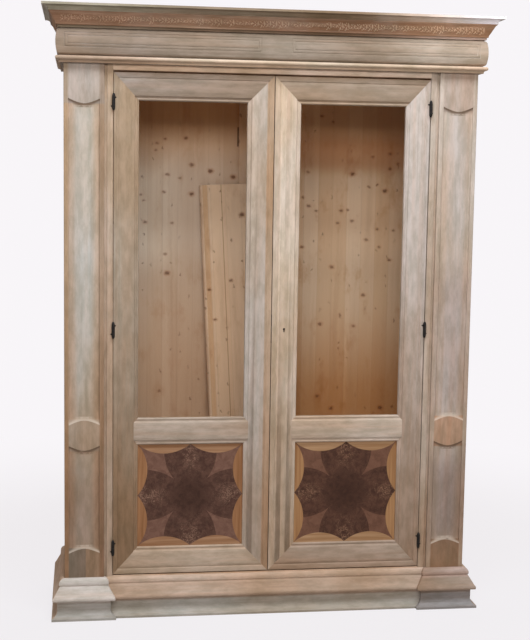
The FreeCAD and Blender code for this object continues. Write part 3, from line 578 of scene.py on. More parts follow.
@dataclass(frozen=True)
class BurlVeneer(Finish):
    """Dark figured walnut, its leaves opened like a book about every petal's middle line."""

    field: Pair = (0.0, 0.0)
    seed: float = 0.0
    dark: Colour = (0.054, 0.023, 0.015)
    middle: Colour = (0.112, 0.053, 0.037)
    light: Colour = (0.36, 0.22, 0.155)
    light_share: float = 1.0
    heart: Colour = (0.034, 0.012, 0.006)
    heart_share: float = 0.6
    level: Colour = PLAIN

    def paint(self, s: Surface) -> None:
        """Lay the figure, the light flecks at the tips and the dark heart over one another.

        Args:
            s: the surface that is painted.
        """
        centred = s.vector("SUBTRACT", s.place, (self.field[0], 0.0, self.field[1]))
        folded = s.parts(s.vector("ABSOLUTE", centred))
        aside = s.math("MINIMUM", folded[0], folded[2])
        leaf = s.join(s.math("MAXIMUM", folded[0], folded[2]), self.seed, aside)
        bend = s.noise(s.place, (34.0, 34.0, 34.0), 4.0, 0.62, output=1)
        warped = s.moved(leaf, s.scaled(bend, (0.05, 0.05, 0.05)))
        figure = s.noise(warped, (42.0, 1.0, 44.0), 5.0, 0.68)
        flecks = s.noise(warped, (240.0, 1.0, 300.0), 3.0, 0.6)
        spread = s.noise(s.place, (45.0, 45.0, 45.0), 3.0, 0.6)
        out = s.length(s.scaled(centred, (1.0, 0.0, 1.0)))
        tips = s.times(s.ramp(out, 0.07, 0.15), s.ramp(aside, 0.05, 0.0))
        base = s.mix(s.ramp(figure, 0.34, 0.66), rgba(self.dark), rgba(self.middle))
        bright = s.times(s.times(s.ramp(flecks, 0.46, 0.64), s.ramp(spread, 0.35, 0.55)),
                         s.plus(0.12, tips))
        base = s.lay(base, bright, self.light_share, self.light)
        base = s.lay(base, s.ramp(out, 0.10, 0.035), self.heart_share, self.heart)
        s.finish(s.tint(base, rgba(self.level)), (0.5, 0.2), flecks, 0.25, flecks,
                 (0.12, 0.0003))


@dataclass(frozen=True)
class EdgeVeneer(Finish):
    """Orange fruitwood round a panel's rim, its grain along the nearest side of the panel."""

    field: Pair = (0.0, 0.0)
    seed: float = 0.0
    pale: Colour = (0.43, 0.225, 0.115)
    deep: Colour = (0.28, 0.125, 0.052)
    level_across: Colour = (1.08, 1.16, 1.22)
    level_upright: Colour = (0.95, 0.90, 0.78)
    level: Colour = PLAIN

    def paint(self, s: Surface) -> None:
        """Choose each piece's grain by its side of the panel and lay its tones.

        Args:
            s: the surface that is painted.
        """
        centred = s.vector("SUBTRACT", s.place, (self.field[0], 0.0, self.field[1]))
        away = s.parts(s.vector("ABSOLUTE", centred))
        beside = s.math("GREATER_THAN", away[0], away[2])
        chosen = s.add("ShaderNodeMix", {0: beside, 4: s.turned(Grain.ACROSS.value),
                                         5: s.turned(Grain.UPRIGHT.value)}, data_type="VECTOR")
        grain = s.grained(chosen.outputs[1], self.seed, 0.012, 0.0022)
        base = s.mix(s.ramp(grain["Streaks"], 0.3, 0.7), rgba(self.deep), rgba(self.pale))
        base = s.lay(base, s.ramp(grain["Lines"], 0.45, 0.7), 0.35, self.deep)
        base = s.tint(base, s.mix(beside, rgba(self.level_across), rgba(self.level_upright)))
        s.finish(s.tint(base, rgba(self.level)), (0.48, 0.2), grain["Lines"], 0.3,
                 grain["Height"], (0.12, 0.0003))


@dataclass(frozen=True)
class Metal(Finish):
    """Iron or steel with rubbed places and fine scratches."""

    dark: Colour = (0.35, 0.34, 0.32)
    bright: Colour = (0.55, 0.54, 0.52)
    metallic: float = 1.0
    roughness: float = 0.3

    def paint(self, s: Surface) -> None:
        """Lay the spots and the rubbed arrises over the metal.

        Args:
            s: the surface that is painted.
        """
        spots = s.noise(s.place, (180.0, 180.0, 180.0), 4.0, 0.6)
        scratches = s.noise(s.place, (1500.0, 1500.0, 40.0))
        base = s.mix(s.ramp(spots, 0.35, 0.75), rgba(self.dark), rgba(self.bright))
        base = s.lay(base, s.worn(0.6)["Arrises"], 0.6, self.bright)
        s.finish(base, (self.roughness, 0.18), scratches, 0.5, spots, (0.15, 0.0002))
        s.feed(s.shader, {"Metallic": self.metallic})


@dataclass(frozen=True)
class ClearPane(Finish):
    """Clear window glass that lets the lamps' light through."""

    colour: Colour = (0.985, 0.995, 0.99)

    def paint(self, s: Surface) -> None:
        """Make the surface see-through, and clear to shadows and to soft light.

        Args:
            s: the surface that is painted.
        """
        smears = s.ramp(s.noise(s.place, (9.0, 9.0, 4.0), 3.0, 0.6), 0.5, 0.9)
        s.feed(s.shader, {"Base Color": rgba(self.colour), "Transmission Weight": 1.0, "IOR": 1.1,
                          "Specular IOR Level": 0.02, "Roughness": s.times(smears, 0.01)})
        path = s.add("ShaderNodeLightPath").outputs
        s.share_with(s.math("MAXIMUM", path["Is Shadow Ray"], path["Is Diffuse Ray"]),
                     s.add("ShaderNodeBsdfTransparent"))


def linked(name: str, data: bpy.types.ID) -> bpy.types.Object:
    """Add an object to the scene.

    Args:
        name: the object's name.
        data: its mesh, lamp or camera.

    Returns:
        The new object.
    """
    thing = bpy.data.objects.new(name, data)
    bpy.context.scene.collection.objects.link(thing)
    return thing


def add_piece(name: str, mesh: bpy.types.Mesh, material: bpy.types.Material, body: str) -> bpy.types.Object:
    """Add a finished mesh to the scene as a piece that rides on a body.

    Args:
        name: the piece's name.
        mesh: its mesh, in the part's frame.
        material: its material.
        body: the body that it rides on.

    Returns:
        The new object.
    """
    mesh.materials.clear()
    mesh.materials.append(material)
    piece = linked(name, mesh)
    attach(piece, body)
    LOG.info("%s: %d faces on %s", name, len(mesh.polygons), body)
    return piece


def as_mesh(bm: bmesh.types.BMesh, name: str, sharp: float) -> bpy.types.Mesh:
    """Turn a bmesh into a mesh.

    Args:
        bm: the bmesh, which is freed.
        name: the mesh's name.
        sharp: the angle in degrees from which an edge is sharp.

    Returns:
        The mesh.
    """
    mesh = bpy.data.meshes.new(name)
    bm.to_mesh(mesh)
    bm.free()
    mesh.set_sharp_from_angle(angle=math.radians(sharp))
    return mesh


def smooth_shells(bm: bmesh.types.BMesh, name: str, sharp: float) -> bpy.types.Mesh:
    """Turn closed shells into a smooth mesh whose faces look outward.

    Args:
        bm: the bmesh, which is freed.
        name: the mesh's name.
        sharp: the angle in degrees from which an edge is sharp.

    Returns:
        The mesh.
    """
    bmesh.ops.recalc_face_normals(bm, faces=bm.faces)
    for face in bm.faces:
        face.smooth = True
    return as_mesh(bm, name, sharp)


def skin(bm: bmesh.types.BMesh, rings: list[list[bmesh.types.BMVert]], steps: int) -> None:
    """Lay faces between rings of corners.

    Args:
        bm: the bmesh.
        rings: the rings in order, where a point is a ring of one corner.
        steps: how many faces go round.
    """
    for low, high in zip(rings, rings[1:]):
        for k in range(steps):
            after = (k + 1) % steps
            corners = [low[k % len(low)], low[after % len(low)],
                       high[after % len(high)], high[k % len(high)]]
            bm.faces.new(list(dict.fromkeys(corners)))


def eased_mesh(source: bpy.types.Object, ease: float, corner: float,
               shortest: float) -> bpy.types.Mesh:
    """Copy a node's mesh, merge its triangles and round its arrises.

    Args:
        source: the node's object.
        ease: how far each arris is taken off.
        corner: the angle in degrees from which an edge is an arris.
        shortest: the length below which an edge keeps its sharp corner.

    Returns:
        The new mesh, with the rounded faces marked in the attribute "eased".
    """
    bm = bmesh.new()
    bm.from_mesh(source.data)
    mark = bm.faces.layers.float.new("eased")
    bmesh.ops.remove_doubles(bm, verts=bm.verts, dist=2e-5)
    bmesh.ops.dissolve_limit(bm, angle_limit=math.radians(0.4), verts=bm.verts, edges=bm.edges)
    sharp = [edge for edge in bm.edges
             if len(edge.link_faces) == 2 and edge.calc_length() > shortest
             and edge.calc_face_angle(0.0) > math.radians(corner)]
    rounded = bmesh.ops.bevel(bm, geom=sharp, offset=ease, offset_type="OFFSET", segments=2,
                              profile=0.5, affect="EDGES", clamp_overlap=True)
    for face in rounded["faces"]:
        face[mark] = 1.0
    for face in bm.faces:
        face.smooth = not face[mark]
    return as_mesh(bm, f"{source.name} eased", corner)


def lathe_mesh(name: str, profile: list[Pair], steps: int = 20) -> bpy.types.Mesh:
    """Turn a profile round the Z axis.

    Args:
        name: the mesh's name.
        profile: pairs of radius and height along the outline, with no radius at either end.
        steps: how many faces go round.

    Returns:
        The closed mesh.
    """
    bm = bmesh.new()
    turns = [math.tau * k / steps for k in range(steps)]
    skin(bm, [[bm.verts.new((radius * math.cos(turn), radius * math.sin(turn), height))
               for turn in (turns if radius > 0 else turns[:1])] for radius, height in profile],
         steps)
    return smooth_shells(bm, name, 40)


def joined(name: str, meshes: list[bpy.types.Mesh]) -> bpy.types.Mesh:
    """Join meshes.

    Args:
        name: the new mesh's name.
        meshes: the meshes that it holds.

    Returns:
        The new mesh.
    """
    bm = bmesh.new()
    for mesh in meshes:
        bm.from_mesh(mesh)
    return as_mesh(bm, name, 40)


def relief_mesh(name: str, shells: list[tuple[float, ...]], steps: int = 12,
                root: float = 0.0004) -> bpy.types.Mesh:
    """Build carved leaves that stand off a face towards +Y.

    Args:
        name: the mesh's name.
        shells: the leaves as (x, z, width, length, height, lean in degrees).
        steps: how many corners a leaf's outline has.
        root: how far the leaves reach into the face.

    Returns:
        The mesh, every leaf a closed shell.
    """
    bm = bmesh.new()
    for x, z, width, length, height, lean in shells:
        way = Vector((math.sin(math.radians(lean)), math.cos(math.radians(lean))))
        rings = []
        for size, lift in ((1.0, -root), (0.92, 0.45 * height), (0.55, 0.88 * height)):
            ring = []
            for k in range(steps):
                angle = math.tau * k / steps
                aside = size * width / 2 * math.sin(angle) * abs(math.sin(angle)) ** 0.25
                along = size * length / 2 * math.cos(angle)
                ring.append(bm.verts.new((x + aside * way.y + along * way.x, lift,
                                          z - aside * way.x + along * way.y)))
            rings.append(ring)
        bm.faces.new(rings[0])
        skin(bm, rings + [[bm.verts.new((x, height, z))]], steps)
    return smooth_shells(bm, name, 50)


def end_with_copies(g: Graph, source: bpy.types.NodeOutputs, points: Socket,
                    **places: Socket) -> bpy.types.NodeTree:
    """End a geometry tree with a copy of its shape on every point.

    Args:
        g: the tree's graph.
        source: the tree's inputs, with Shape and Finish among them.
        points: the points.
        **places: how the copies are turned and scaled.

    Returns:
        The finished tree.
    """
    shape = g.add("GeometryNodeObjectInfo", {"Object": source["Shape"]})
    placed = g.add("GeometryNodeInstanceOnPoints", {
        "Points": points, "Instance": shape.outputs["Geometry"], **places})
    real = g.add("GeometryNodeRealizeInstances", {0: placed.outputs[0]})
    dressed = g.add("GeometryNodeSetMaterial", {0: real.outputs[0], "Material": source["Finish"]})
    g.add("NodeGroupOutput", {0: dressed.outputs[0]})
    return g.tree


def copies_tree() -> bpy.types.NodeTree:
    """Build the tree that sets a copy of a shape on every point of a mesh.

    Returns:
        The tree, with the inputs Geometry, Shape and Finish.
    """
    g, source = new_tree("Copies on points", "GeometryNodeTree", {
        "Geometry": Kind.GEOMETRY, "Shape": Kind.OBJECT, "Finish": Kind.MATERIAL},
        {"Geometry": Kind.GEOMETRY})
    return end_with_copies(g, source, source["Geometry"])


def run_tree() -> bpy.types.NodeTree:
    """Build the tree that repeats a motif along a straight run in X.

    Returns:
        The tree, with the inputs Length, Pitch, Size Spread, Tilt, Seed, Shape and Finish.
    """
    g, source = new_tree("Motif run", "GeometryNodeTree", {
        "Geometry": Kind.GEOMETRY, "Length": Kind.FLOAT, "Pitch": Kind.FLOAT,
        "Size Spread": Kind.FLOAT, "Tilt": Kind.FLOAT, "Seed": Kind.INTEGER,
        "Shape": Kind.OBJECT, "Finish": Kind.MATERIAL}, {"Geometry": Kind.GEOMETRY})
    count = g.math("FLOOR", g.math("DIVIDE", source["Length"], source["Pitch"]))
    start = g.times(g.times(g.math("SUBTRACT", count, 1.0), source["Pitch"]), -0.5)
    line = g.add("GeometryNodeMeshLine", {
        "Count": count, "Start Location": g.join(start), "Offset": g.join(source["Pitch"])},
                 mode="OFFSET")
    size, turn = (g.add("FunctionNodeRandomValue", {2: low, 3: high, "Seed": source["Seed"]},
                        data_type="FLOAT").outputs[1]
                  for low, high in ((g.math("SUBTRACT", 1.0, source["Size Spread"]), 1.0),
                                    (g.times(source["Tilt"], -1.0), source["Tilt"])))
    return end_with_copies(g, source, line.outputs[0], Rotation=g.join(0.0, turn),
                           Scale=g.join(1.0, 1.0, size))


def grown(name: str, tree: bpy.types.NodeTree, start: bpy.types.Mesh, shape: bpy.types.Mesh,
          inputs: dict[str, object]) -> bpy.types.Mesh:
    """Run a geometry tree and keep its result as a plain mesh.

    Args:
        name: the result's name.
        tree: the geometry node tree.
        start: the mesh that it starts from.
        shape: the shape that it repeats.
        inputs: the tree's other input values by name.

    Returns:
        The plain mesh.
    """
    helper, carrier = linked(f"{name} shape", shape), linked(f"{name} carrier", start)
    modifier = carrier.modifiers.new("tree", "NODES")
    modifier.node_group = tree
    ids = {item.name: item.identifier for item in tree.interface.items_tree
           if item.item_type == "SOCKET" and item.in_out == "INPUT"}
    for title, value in {"Shape": helper, **inputs}.items():
        modifier[ids[title]] = value
    bpy.context.view_layer.update()
    ready = carrier.evaluated_get(bpy.context.evaluated_depsgraph_get())
    mesh = bpy.data.meshes.new_from_object(ready)
    mesh.name = name
    carrier.modifiers.clear()
    bpy.data.objects.remove(carrier)
    bpy.data.objects.remove(helper)
    return mesh


@dataclass
class Cabinet:
    """What every sub-assembly needs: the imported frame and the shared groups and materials."""

    frame: dict
    groups: Groups = field(default_factory=Groups)
    made: dict[Finish, bpy.types.Material] = field(default_factory=dict)

    def material(self, finish: Finish) -> bpy.types.Material:
        """Return the material of a finish, which is made once."""
        if finish not in self.made:
            self.made[finish] = finish.make(self.groups)
        return self.made[finish]

    def dress(self, node: str, finish: Finish, ease: float = 0.0008, corner: float = 25.0,
              shortest: float = 0.0) -> None:
        """Stand an eased piece for a node and give it its finish.

        Args:
            node: the node's name.
            finish: the finish.
            ease: how far its arrises are taken off.
            corner: the angle in degrees from which an edge is an arris.
            shortest: the length below which an edge keeps its sharp corner.
        """
        mesh = eased_mesh(self.frame["nodes"][node], ease, corner, shortest)
        self.stand_in(f"{node}_eased", mesh, finish, node)

    def stand_in(self, name: str, mesh: bpy.types.Mesh, finish: Finish, node: str) -> None:
        """Add a piece that stands for a node, on the same body, with the given finish, and hide the node.

        Args:
            name: the piece's name.
            mesh: its mesh.
            finish: the finish.
            node: the node's name.
        """
        record = self.frame["record"]
        body = next(body for body, nodes in record["behaviour"]["bodies"].items()
                    if node in nodes)
        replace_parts(add_piece(name, mesh, self.material(finish), body), node)

    def coat(self, node: str, finish: Finish) -> None:
        """Give a node itself a finish.

        Args:
            node: the node's name.
            finish: the finish.
        """
        target = self.frame["nodes"][node]
        target.data.materials.clear()
        target.data.materials.append(self.material(finish))
        LOG.info("%s: coated with %s", node, finish.name)


@dataclass
class Carcass:
    """The case: sides, floor, ceiling, back, bearers and the loose shelf."""

    cabinet: Cabinet
    left_knots: tuple[KnotRow, ...] = (
        (-0.396, 1.724, 6, 0.5), (-0.285, 1.745, 7, 0.7), (-0.261, 1.643, 8, 0.7),
        (-0.306, 1.592, 6, 0.5), (-0.262, 1.531, 9, 0.9), (-0.101, 1.599, 9, 0.9),
        (-0.354, 1.225, 9, 0.8), (-0.383, 0.762, 7, 0.5), (-0.365, 1.74, 6, 0.6),
        (-0.399, 1.697, 5, 0.5), (-0.355, 1.605, 7, 0.6), (-0.189, 1.621, 9, 0.9),
        (-0.368, 1.538, 6, 0.6), (-0.456, 1.527, 5, 0.5), (-0.446, 1.506, 5, 0.5),
        (-0.44, 1.422, 7, 0.6), (-0.336, 1.419, 6, 0.5), (-0.362, 1.299, 6, 0.5),
        (-0.43, 0.42, 8, 0.7), (-0.16, 0.61, 7, 0.7), (-0.62, 1.36, 8, 0.8), (-0.66, 0.9, 9, 0.8))
    right_knots: tuple[KnotRow, ...] = (
        (0.244, 1.84, 7, 0.6), (0.288, 1.818, 6, 0.6), (0.371, 1.618, 9, 0.9),
        (0.502, 1.553, 9, 0.9), (0.373, 1.434, 7, 0.6), (0.431, 1.36, 7, 0.6),
        (0.295, 1.252, 8, 0.7), (0.526, 1.281, 7, 0.7), (0.424, 1.141, 8, 0.7),
        (0.387, 1.017, 7, 0.6), (0.253, 1.025, 8, 0.7), (0.505, 0.687, 9, 0.8),
        (0.305, 0.687, 8, 0.7), (0.247, 0.736, 8, 0.6), (0.451, 1.685, 6, 0.6),
        (0.519, 1.698, 7, 0.7), (0.553, 1.66, 6, 0.6), (0.521, 1.64, 7, 0.7),
        (0.193, 1.623, 6, 0.6), (0.438, 1.568, 6, 0.6), (0.472, 1.576, 6, 0.7),
        (0.175, 1.524, 6, 0.6), (0.198, 1.491, 7, 0.7), (0.228, 1.472, 6, 0.6),
        (0.328, 1.473, 7, 0.7), (0.352, 1.477, 6, 0.6), (0.315, 1.425, 6, 0.6),
        (0.475, 1.403, 7, 0.7), (0.54, 1.398, 6, 0.6), (0.175, 1.33, 7, 0.7),
        (0.485, 1.332, 6, 0.6), (0.35, 0.4, 8, 0.7), (0.64, 1.5, 9, 0.8), (0.66, 0.8, 8, 0.8))
    shelf_knots: tuple[KnotRow, ...] = (
        (-0.0691, 1.4548, 9, 0.9), (-0.1103, 1.2009, 6, 0.7), (-0.1931, 1.164, 6, 0.7),
        (-0.1706, 1.0498, 6, 0.7), (0.04, 0.8, 8, 0.8), (-0.08, 0.45, 7, 0.7))
    shelf_turn: float = math.radians(2.8)
    # Painted shade: the top of the inside darkened and warmed where the cornice shades it, and the lower
    # left darker and warmer.
    top_shade: Zone = Zone((-1.0, 1.70), (1.0, 2.2), (0.92, 0.66, 0.42), 0.14)
    left_low_shade: Zone = Zone((-1.0, 0.0), (1.0, 1.1), (0.90, 0.77, 0.66), 0.35)
    # Painted light and shade on the left back board: shade at the top, a painted shadow in the gap beside
    # the batten, a lit patch, and a shaded patch lower down.
    left_zones: tuple[Zone, ...] = (
        Zone((-1.0, 1.79), (1.0, 2.2), (1.0, 0.84, 0.62), 0.05),
        Zone((-0.0865, 1.716), (-0.0795, 1.79), (0.25, 0.2, 0.15), 0.002),
        Zone((-1.0, 1.28), (-0.36, 1.64), (1.42, 1.6, 1.75), 0.1),
        Zone((-0.37, 0.5), (-0.1, 1.3), (0.86, 0.81, 0.76), 0.08))
    # Painted light and shade on the right back board: shade towards the bottom, a lit band, a painted
    # shadow edge under the top, and more shade low down.
    right_zones: tuple[Zone, ...] = (
        Zone((-1.0, 0.0), (1.0, 0.98), (0.76, 0.56, 0.38), 0.22),
        Zone((-1.0, 1.30), (1.0, 1.57), (1.28, 1.31, 1.34), 0.09),
        Zone((-1.0, 1.63), (1.0, 1.76), (0.76, 0.62, 0.5), 0.035),
        Zone((-1.0, 0.0), (1.0, 0.78), (0.93, 0.82, 0.66), 0.1))
    # Tints on the shelf: a painted highlight along its left edge, a tan band and a dark line beside it, and
    # a darker lower part.
    shelf_zones: tuple[Zone, ...] = (
        Zone((-0.17, 0.1), (-0.1475, 1.6), (1.12, 1.14, 1.18), 0.001),
        Zone((-0.1465, 0.1), (-0.1285, 1.6), (0.86, 0.76, 0.64), 0.003),
        Zone((-0.0757, 0.1), (-0.0732, 1.6), (0.55, 0.44, 0.32), 0.001),
        Zone((-0.4, 0.0), (0.2, 1.3), (0.89, 0.83, 0.78), 0.12))

    def build(self) -> None:
        """Dress every piece of the case."""
        dress = self.cabinet.dress
        dress("back_left_board", KnottyPine(
            "left back pine", seed=1.0, first_seam=-0.0795, knots=self.left_knots,
            zones=(self.top_shade, self.left_low_shade, *self.left_zones), pale=(0.70, 0.55, 0.43),
            warm=(0.60, 0.43, 0.30)))
        dress("back_right_board", KnottyPine(
            "right back pine", seed=2.0, stave=0.0572, first_seam=0.2372, knots=self.right_knots,
            zones=(self.top_shade, *self.right_zones), pale=(0.68, 0.50, 0.35),
            warm=(0.60, 0.395, 0.24), blotches=0.65))
        dress("back_center_batten", KnottyPine(
            "batten pine", seed=3.0, first_seam=0.3, zones=(self.top_shade, self.left_low_shade),
            pale=(0.66, 0.50, 0.37), warm=(0.58, 0.40, 0.27)))
        for node in ("bottom_board", "top_board", "shelf_bearers", "cornice_lid"):
            dress(node, KnottyPine("floor pine", Grain.ACROSS, 5.0))
        for node in ("left_side_panel", "right_side_panel"):
            dress(node, RawWood("side wood", seed=11.0, pale=0.4))
        dress("loose_shelf", KnottyPine(
            "shelf pine", seed=8.0, first_seam=0.0, turn=self.shelf_turn, knots=self.shelf_knots,
            pale=(0.84, 0.65, 0.49), warm=(0.78, 0.56, 0.38), zones=self.shelf_zones))


@dataclass
class Front:
    """The face frame and the pilasters."""

    cabinet: Cabinet
    shaft: Pair = (0.640, 0.705)
    shaft_heights: tuple[Pair, ...] = ((0.262, 0.606), (0.734, 1.838))
    # Tints of the milled shafts: partly their own tone, partly painted light.
    left_tint: Colour = (1.04, 1.24, 1.45)
    right_tint: Colour = (1.02, 1.08, 1.18)
    # Left pilaster: painted shade on the outer and inner flanks and over the lower part; the block and foot
    # zones are the wood's own tones.
    left_zones: tuple[Zone, ...] = (
        Zone((-0.76, 0.0), (-0.727, 2.0), (0.81, 0.69, 0.54)),
        Zone((-0.618, 0.0), (-0.58, 2.0), (0.79, 0.72, 0.66)),
        Zone((-0.76, 0.0), (-0.58, 0.5), (0.86, 0.83, 0.89), 0.18),
        Zone((-0.76, 1.846), (-0.58, 2.0), (0.88, 0.99, 1.16), 0.003),
        Zone((-0.7275, 0.612), (-0.6175, 0.727), (0.99, 1.10, 1.22), 0.003),
        Zone((-0.728, 0.0), (-0.667, 0.256), (0.62, 0.73, 0.80), 0.002),
        Zone((-0.667, 0.0), (-0.617, 0.256), (0.91, 0.95, 0.93), 0.002))
    # Right pilaster: the block and foot zones are the wood's own tones; the last two zones paint shade over
    # the lower shaft.
    right_zones: tuple[Zone, ...] = (
        Zone((0.6175, 0.612), (0.7275, 0.727), (0.97, 0.78, 0.66), 0.003),
        Zone((0.6175, 0.0), (0.7275, 0.256), (0.68, 0.57, 0.47), 0.003),
        Zone((0.6175, 1.846), (0.7275, 2.0), (0.88, 0.85, 0.86), 0.003),
        Zone((0.6, 0.76), (0.76, 1.25), (0.87, 0.83, 0.84), 0.1),
        Zone((0.6, 0.25), (0.76, 0.56), (0.68, 0.66, 0.70), 0.1))

    def shaft_zones(self, side: int, tint: Colour) -> tuple[Zone, ...]:
        """Return the pale, cool tint on a pilaster's milled shafts, partly the milled wood's own tone and
        partly painted light.
        """
        inner, outer = sorted(side * edge for edge in self.shaft)
        return tuple(Zone((inner, low), (outer, high), tint, 0.014)
                     for low, high in self.shaft_heights)

    def build(self) -> None:
        """Dress the face frame and the pilasters."""
        dress = self.cabinet.dress
        for side, seed, pale in (("left", 21.0, 0.45), ("right", 24.0, 0.6)):
            dress(f"{side}_face_stile", RawWood(f"{side} face stile wood", seed=seed, pale=pale))
        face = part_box("left_pilaster")[0].y
        for side, way, seed, pale, tint, zones in (
                ("left", -1, 27.0, 0.45, self.left_tint, self.left_zones),
                ("right", 1, 30.0, 0.6, self.right_tint, self.right_zones)):
            dress(f"{side}_pilaster", RawWood(
                f"{side} pilaster wood", seed=seed, pale=pale, streak_depth=0.3,
                run_out_face=face, zones=self.shaft_zones(way, tint) + zones), corner=11.0)
        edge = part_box("top_front_rail")[0].z
        shadow = Zone((-0.7, edge - 0.01), (0.7, edge + 0.0028), (0.26, 0.2, 0.16), 0.0012)
        # The rails' high level is painted light, lifting the top rail out of the necking's shade.
        for part, zones in (("top", (shadow,)), ("bottom", ())):
            dress(f"{part}_front_rail", RawWood(f"{part} front rail wood", Grain.ACROSS, 29.0,
                                                0.5, level=(1.45, 1.45, 1.45), zones=zones))


@dataclass
class Plinth:
    """The moulded plinth."""

    cabinet: Cabinet
    # Painted light: the top tier brightened and the bottom flare cooled and lightened as by light from
    # above; painted shade at the foot of the left block.
    center_zones: tuple[Zone, ...] = (
        Zone((-0.6, -0.1), (0.6, 0.06), (0.88, 1.12, 1.32)),
        Zone((-0.6, 0.115), (0.6, 0.2), (1.2, 1.22, 1.25), 0.004))
    left_zones: tuple[Zone, ...] = (Zone((-0.9, -0.1), (-0.5, 0.06), (0.68, 0.70, 0.70)),)
    right_zones: tuple[Zone, ...] = (
        Zone((0.5, 0.115), (0.9, 0.2), (1.26, 1.25, 1.38), 0.004),
        Zone((0.5, -0.1), (0.9, 0.06), (0.82, 1.0, 1.25)))

    def build(self) -> None:
        """Dress the plinth's pieces."""
        dress = self.cabinet.dress
        dress("plinth_front_center", RawWood("plinth centre wood", Grain.ACROSS, 31.0, 0.45,
                                             level=(1.15, 1.18, 1.25), zones=self.center_zones))
        dress("plinth_left_block", RawWood(
            "plinth left block wood", Grain.ACROSS, 33.0, 0.8, streak_depth=0.15,
            level=(1.3, 1.56, 1.88), zones=self.left_zones))
        dress("plinth_right_block", RawWood("plinth right block wood", Grain.ACROSS, 34.0, 0.55,
                                            level=(0.84, 0.87, 0.93), zones=self.right_zones))
        dress("plinth_side_runs", RawWood("plinth side wood", Grain.DEEP, 35.0, 0.6))


@dataclass(frozen=True)
class Tier:
    """One tier of the cornice: its level, the zones of its front and its returns' nodes."""

    level: Colour
    zones: tuple[Zone, ...]
    returns: tuple[str, ...]


@dataclass
class Cornice:
    """The crown, the frieze, the necking and the carved strip."""

    cabinet: Cabinet
    # Painted light and shade: a dark band at the crown's foot, shade in the middle, light towards the ends,
    # most at the right.
    crown: Tier = Tier((0.8, 0.84, 0.82), (
        Zone((-1.0, 2.09), (1.0, 2.1125), (0.62, 0.5, 0.42), 0.0015),
        Zone((-0.42, 2.0), (0.42, 2.3), (0.50, 0.41, 0.32), 0.3),
        Zone((-1.2, 2.0), (-0.45, 2.3), (0.94, 1.12, 1.26), 0.2),
        Zone((0.44, 2.0), (1.2, 2.3), (2.4, 2.6, 3.3), 0.25)), ("left", "right"))
    # Painted light and shade: the frieze's low level is shade under the crown; its middle is shaded and its
    # ends lit.
    frieze: Tier = Tier((0.62, 0.6, 0.58), (
        Zone((-0.42, 2.0), (0.42, 2.3), (0.77, 0.71, 0.62), 0.3),
        Zone((-1.2, 2.0), (-0.45, 2.3), (1.0, 1.08, 1.22), 0.2),
        Zone((0.5, 2.0), (1.2, 2.3), (1.65, 1.76, 1.84), 0.25)), ("left", "right"))
    # Painted shade at the necking's left end.
    necking: Tier = Tier((1.0, 0.93, 0.83), (
        Zone((-1.2, 1.9), (-0.45, 2.3), (0.82, 0.84, 0.94), 0.2),), ("returns",))
    # Painted shade at the carved strip's left end and painted light at its right end.
    strip_zones: tuple[Zone, ...] = (
        Zone((-1.2, 2.0), (-0.5, 2.3), (0.94, 0.89, 0.88), 0.2),
        Zone((0.45, 2.0), (1.2, 2.3), (1.72, 1.78, 1.8), 0.25))

    def build(self) -> None:
        """Dress the cornice's pieces."""
        dress = self.cabinet.dress
        for seed, part in enumerate(("crown", "frieze", "necking")):
            tier = getattr(self, part)
            dress(f"{part}_front", RawWood(f"{part} wood", Grain.ACROSS, 41.0 + seed, 0.45,
                                           level=tier.level, zones=tier.zones), 0.0006)
            for end in tier.returns:
                dress(f"{part}_{end}", RawWood(f"{part} return wood", Grain.DEEP, 45.0 + seed,
                                               0.6, level=tier.level), 0.0006)
        for end in ("front", "returns"):
            dress(f"carved_strip_{end}", RawWood(
                "carved ground wood", Grain.ACROSS, 47.0, 0.2, tan=(0.27, 0.14, 0.078),
                grey=(0.35, 0.215, 0.138), zones=self.strip_zones), 0.0005)
        leaf = RawWood("carved leaf wood", Grain.ACROSS, 49.0, 0.3, tan=(0.45, 0.285, 0.185),
                       grey=(0.56, 0.41, 0.29), zones=self.strip_zones)
        Carving(self.cabinet.material(leaf)).build()


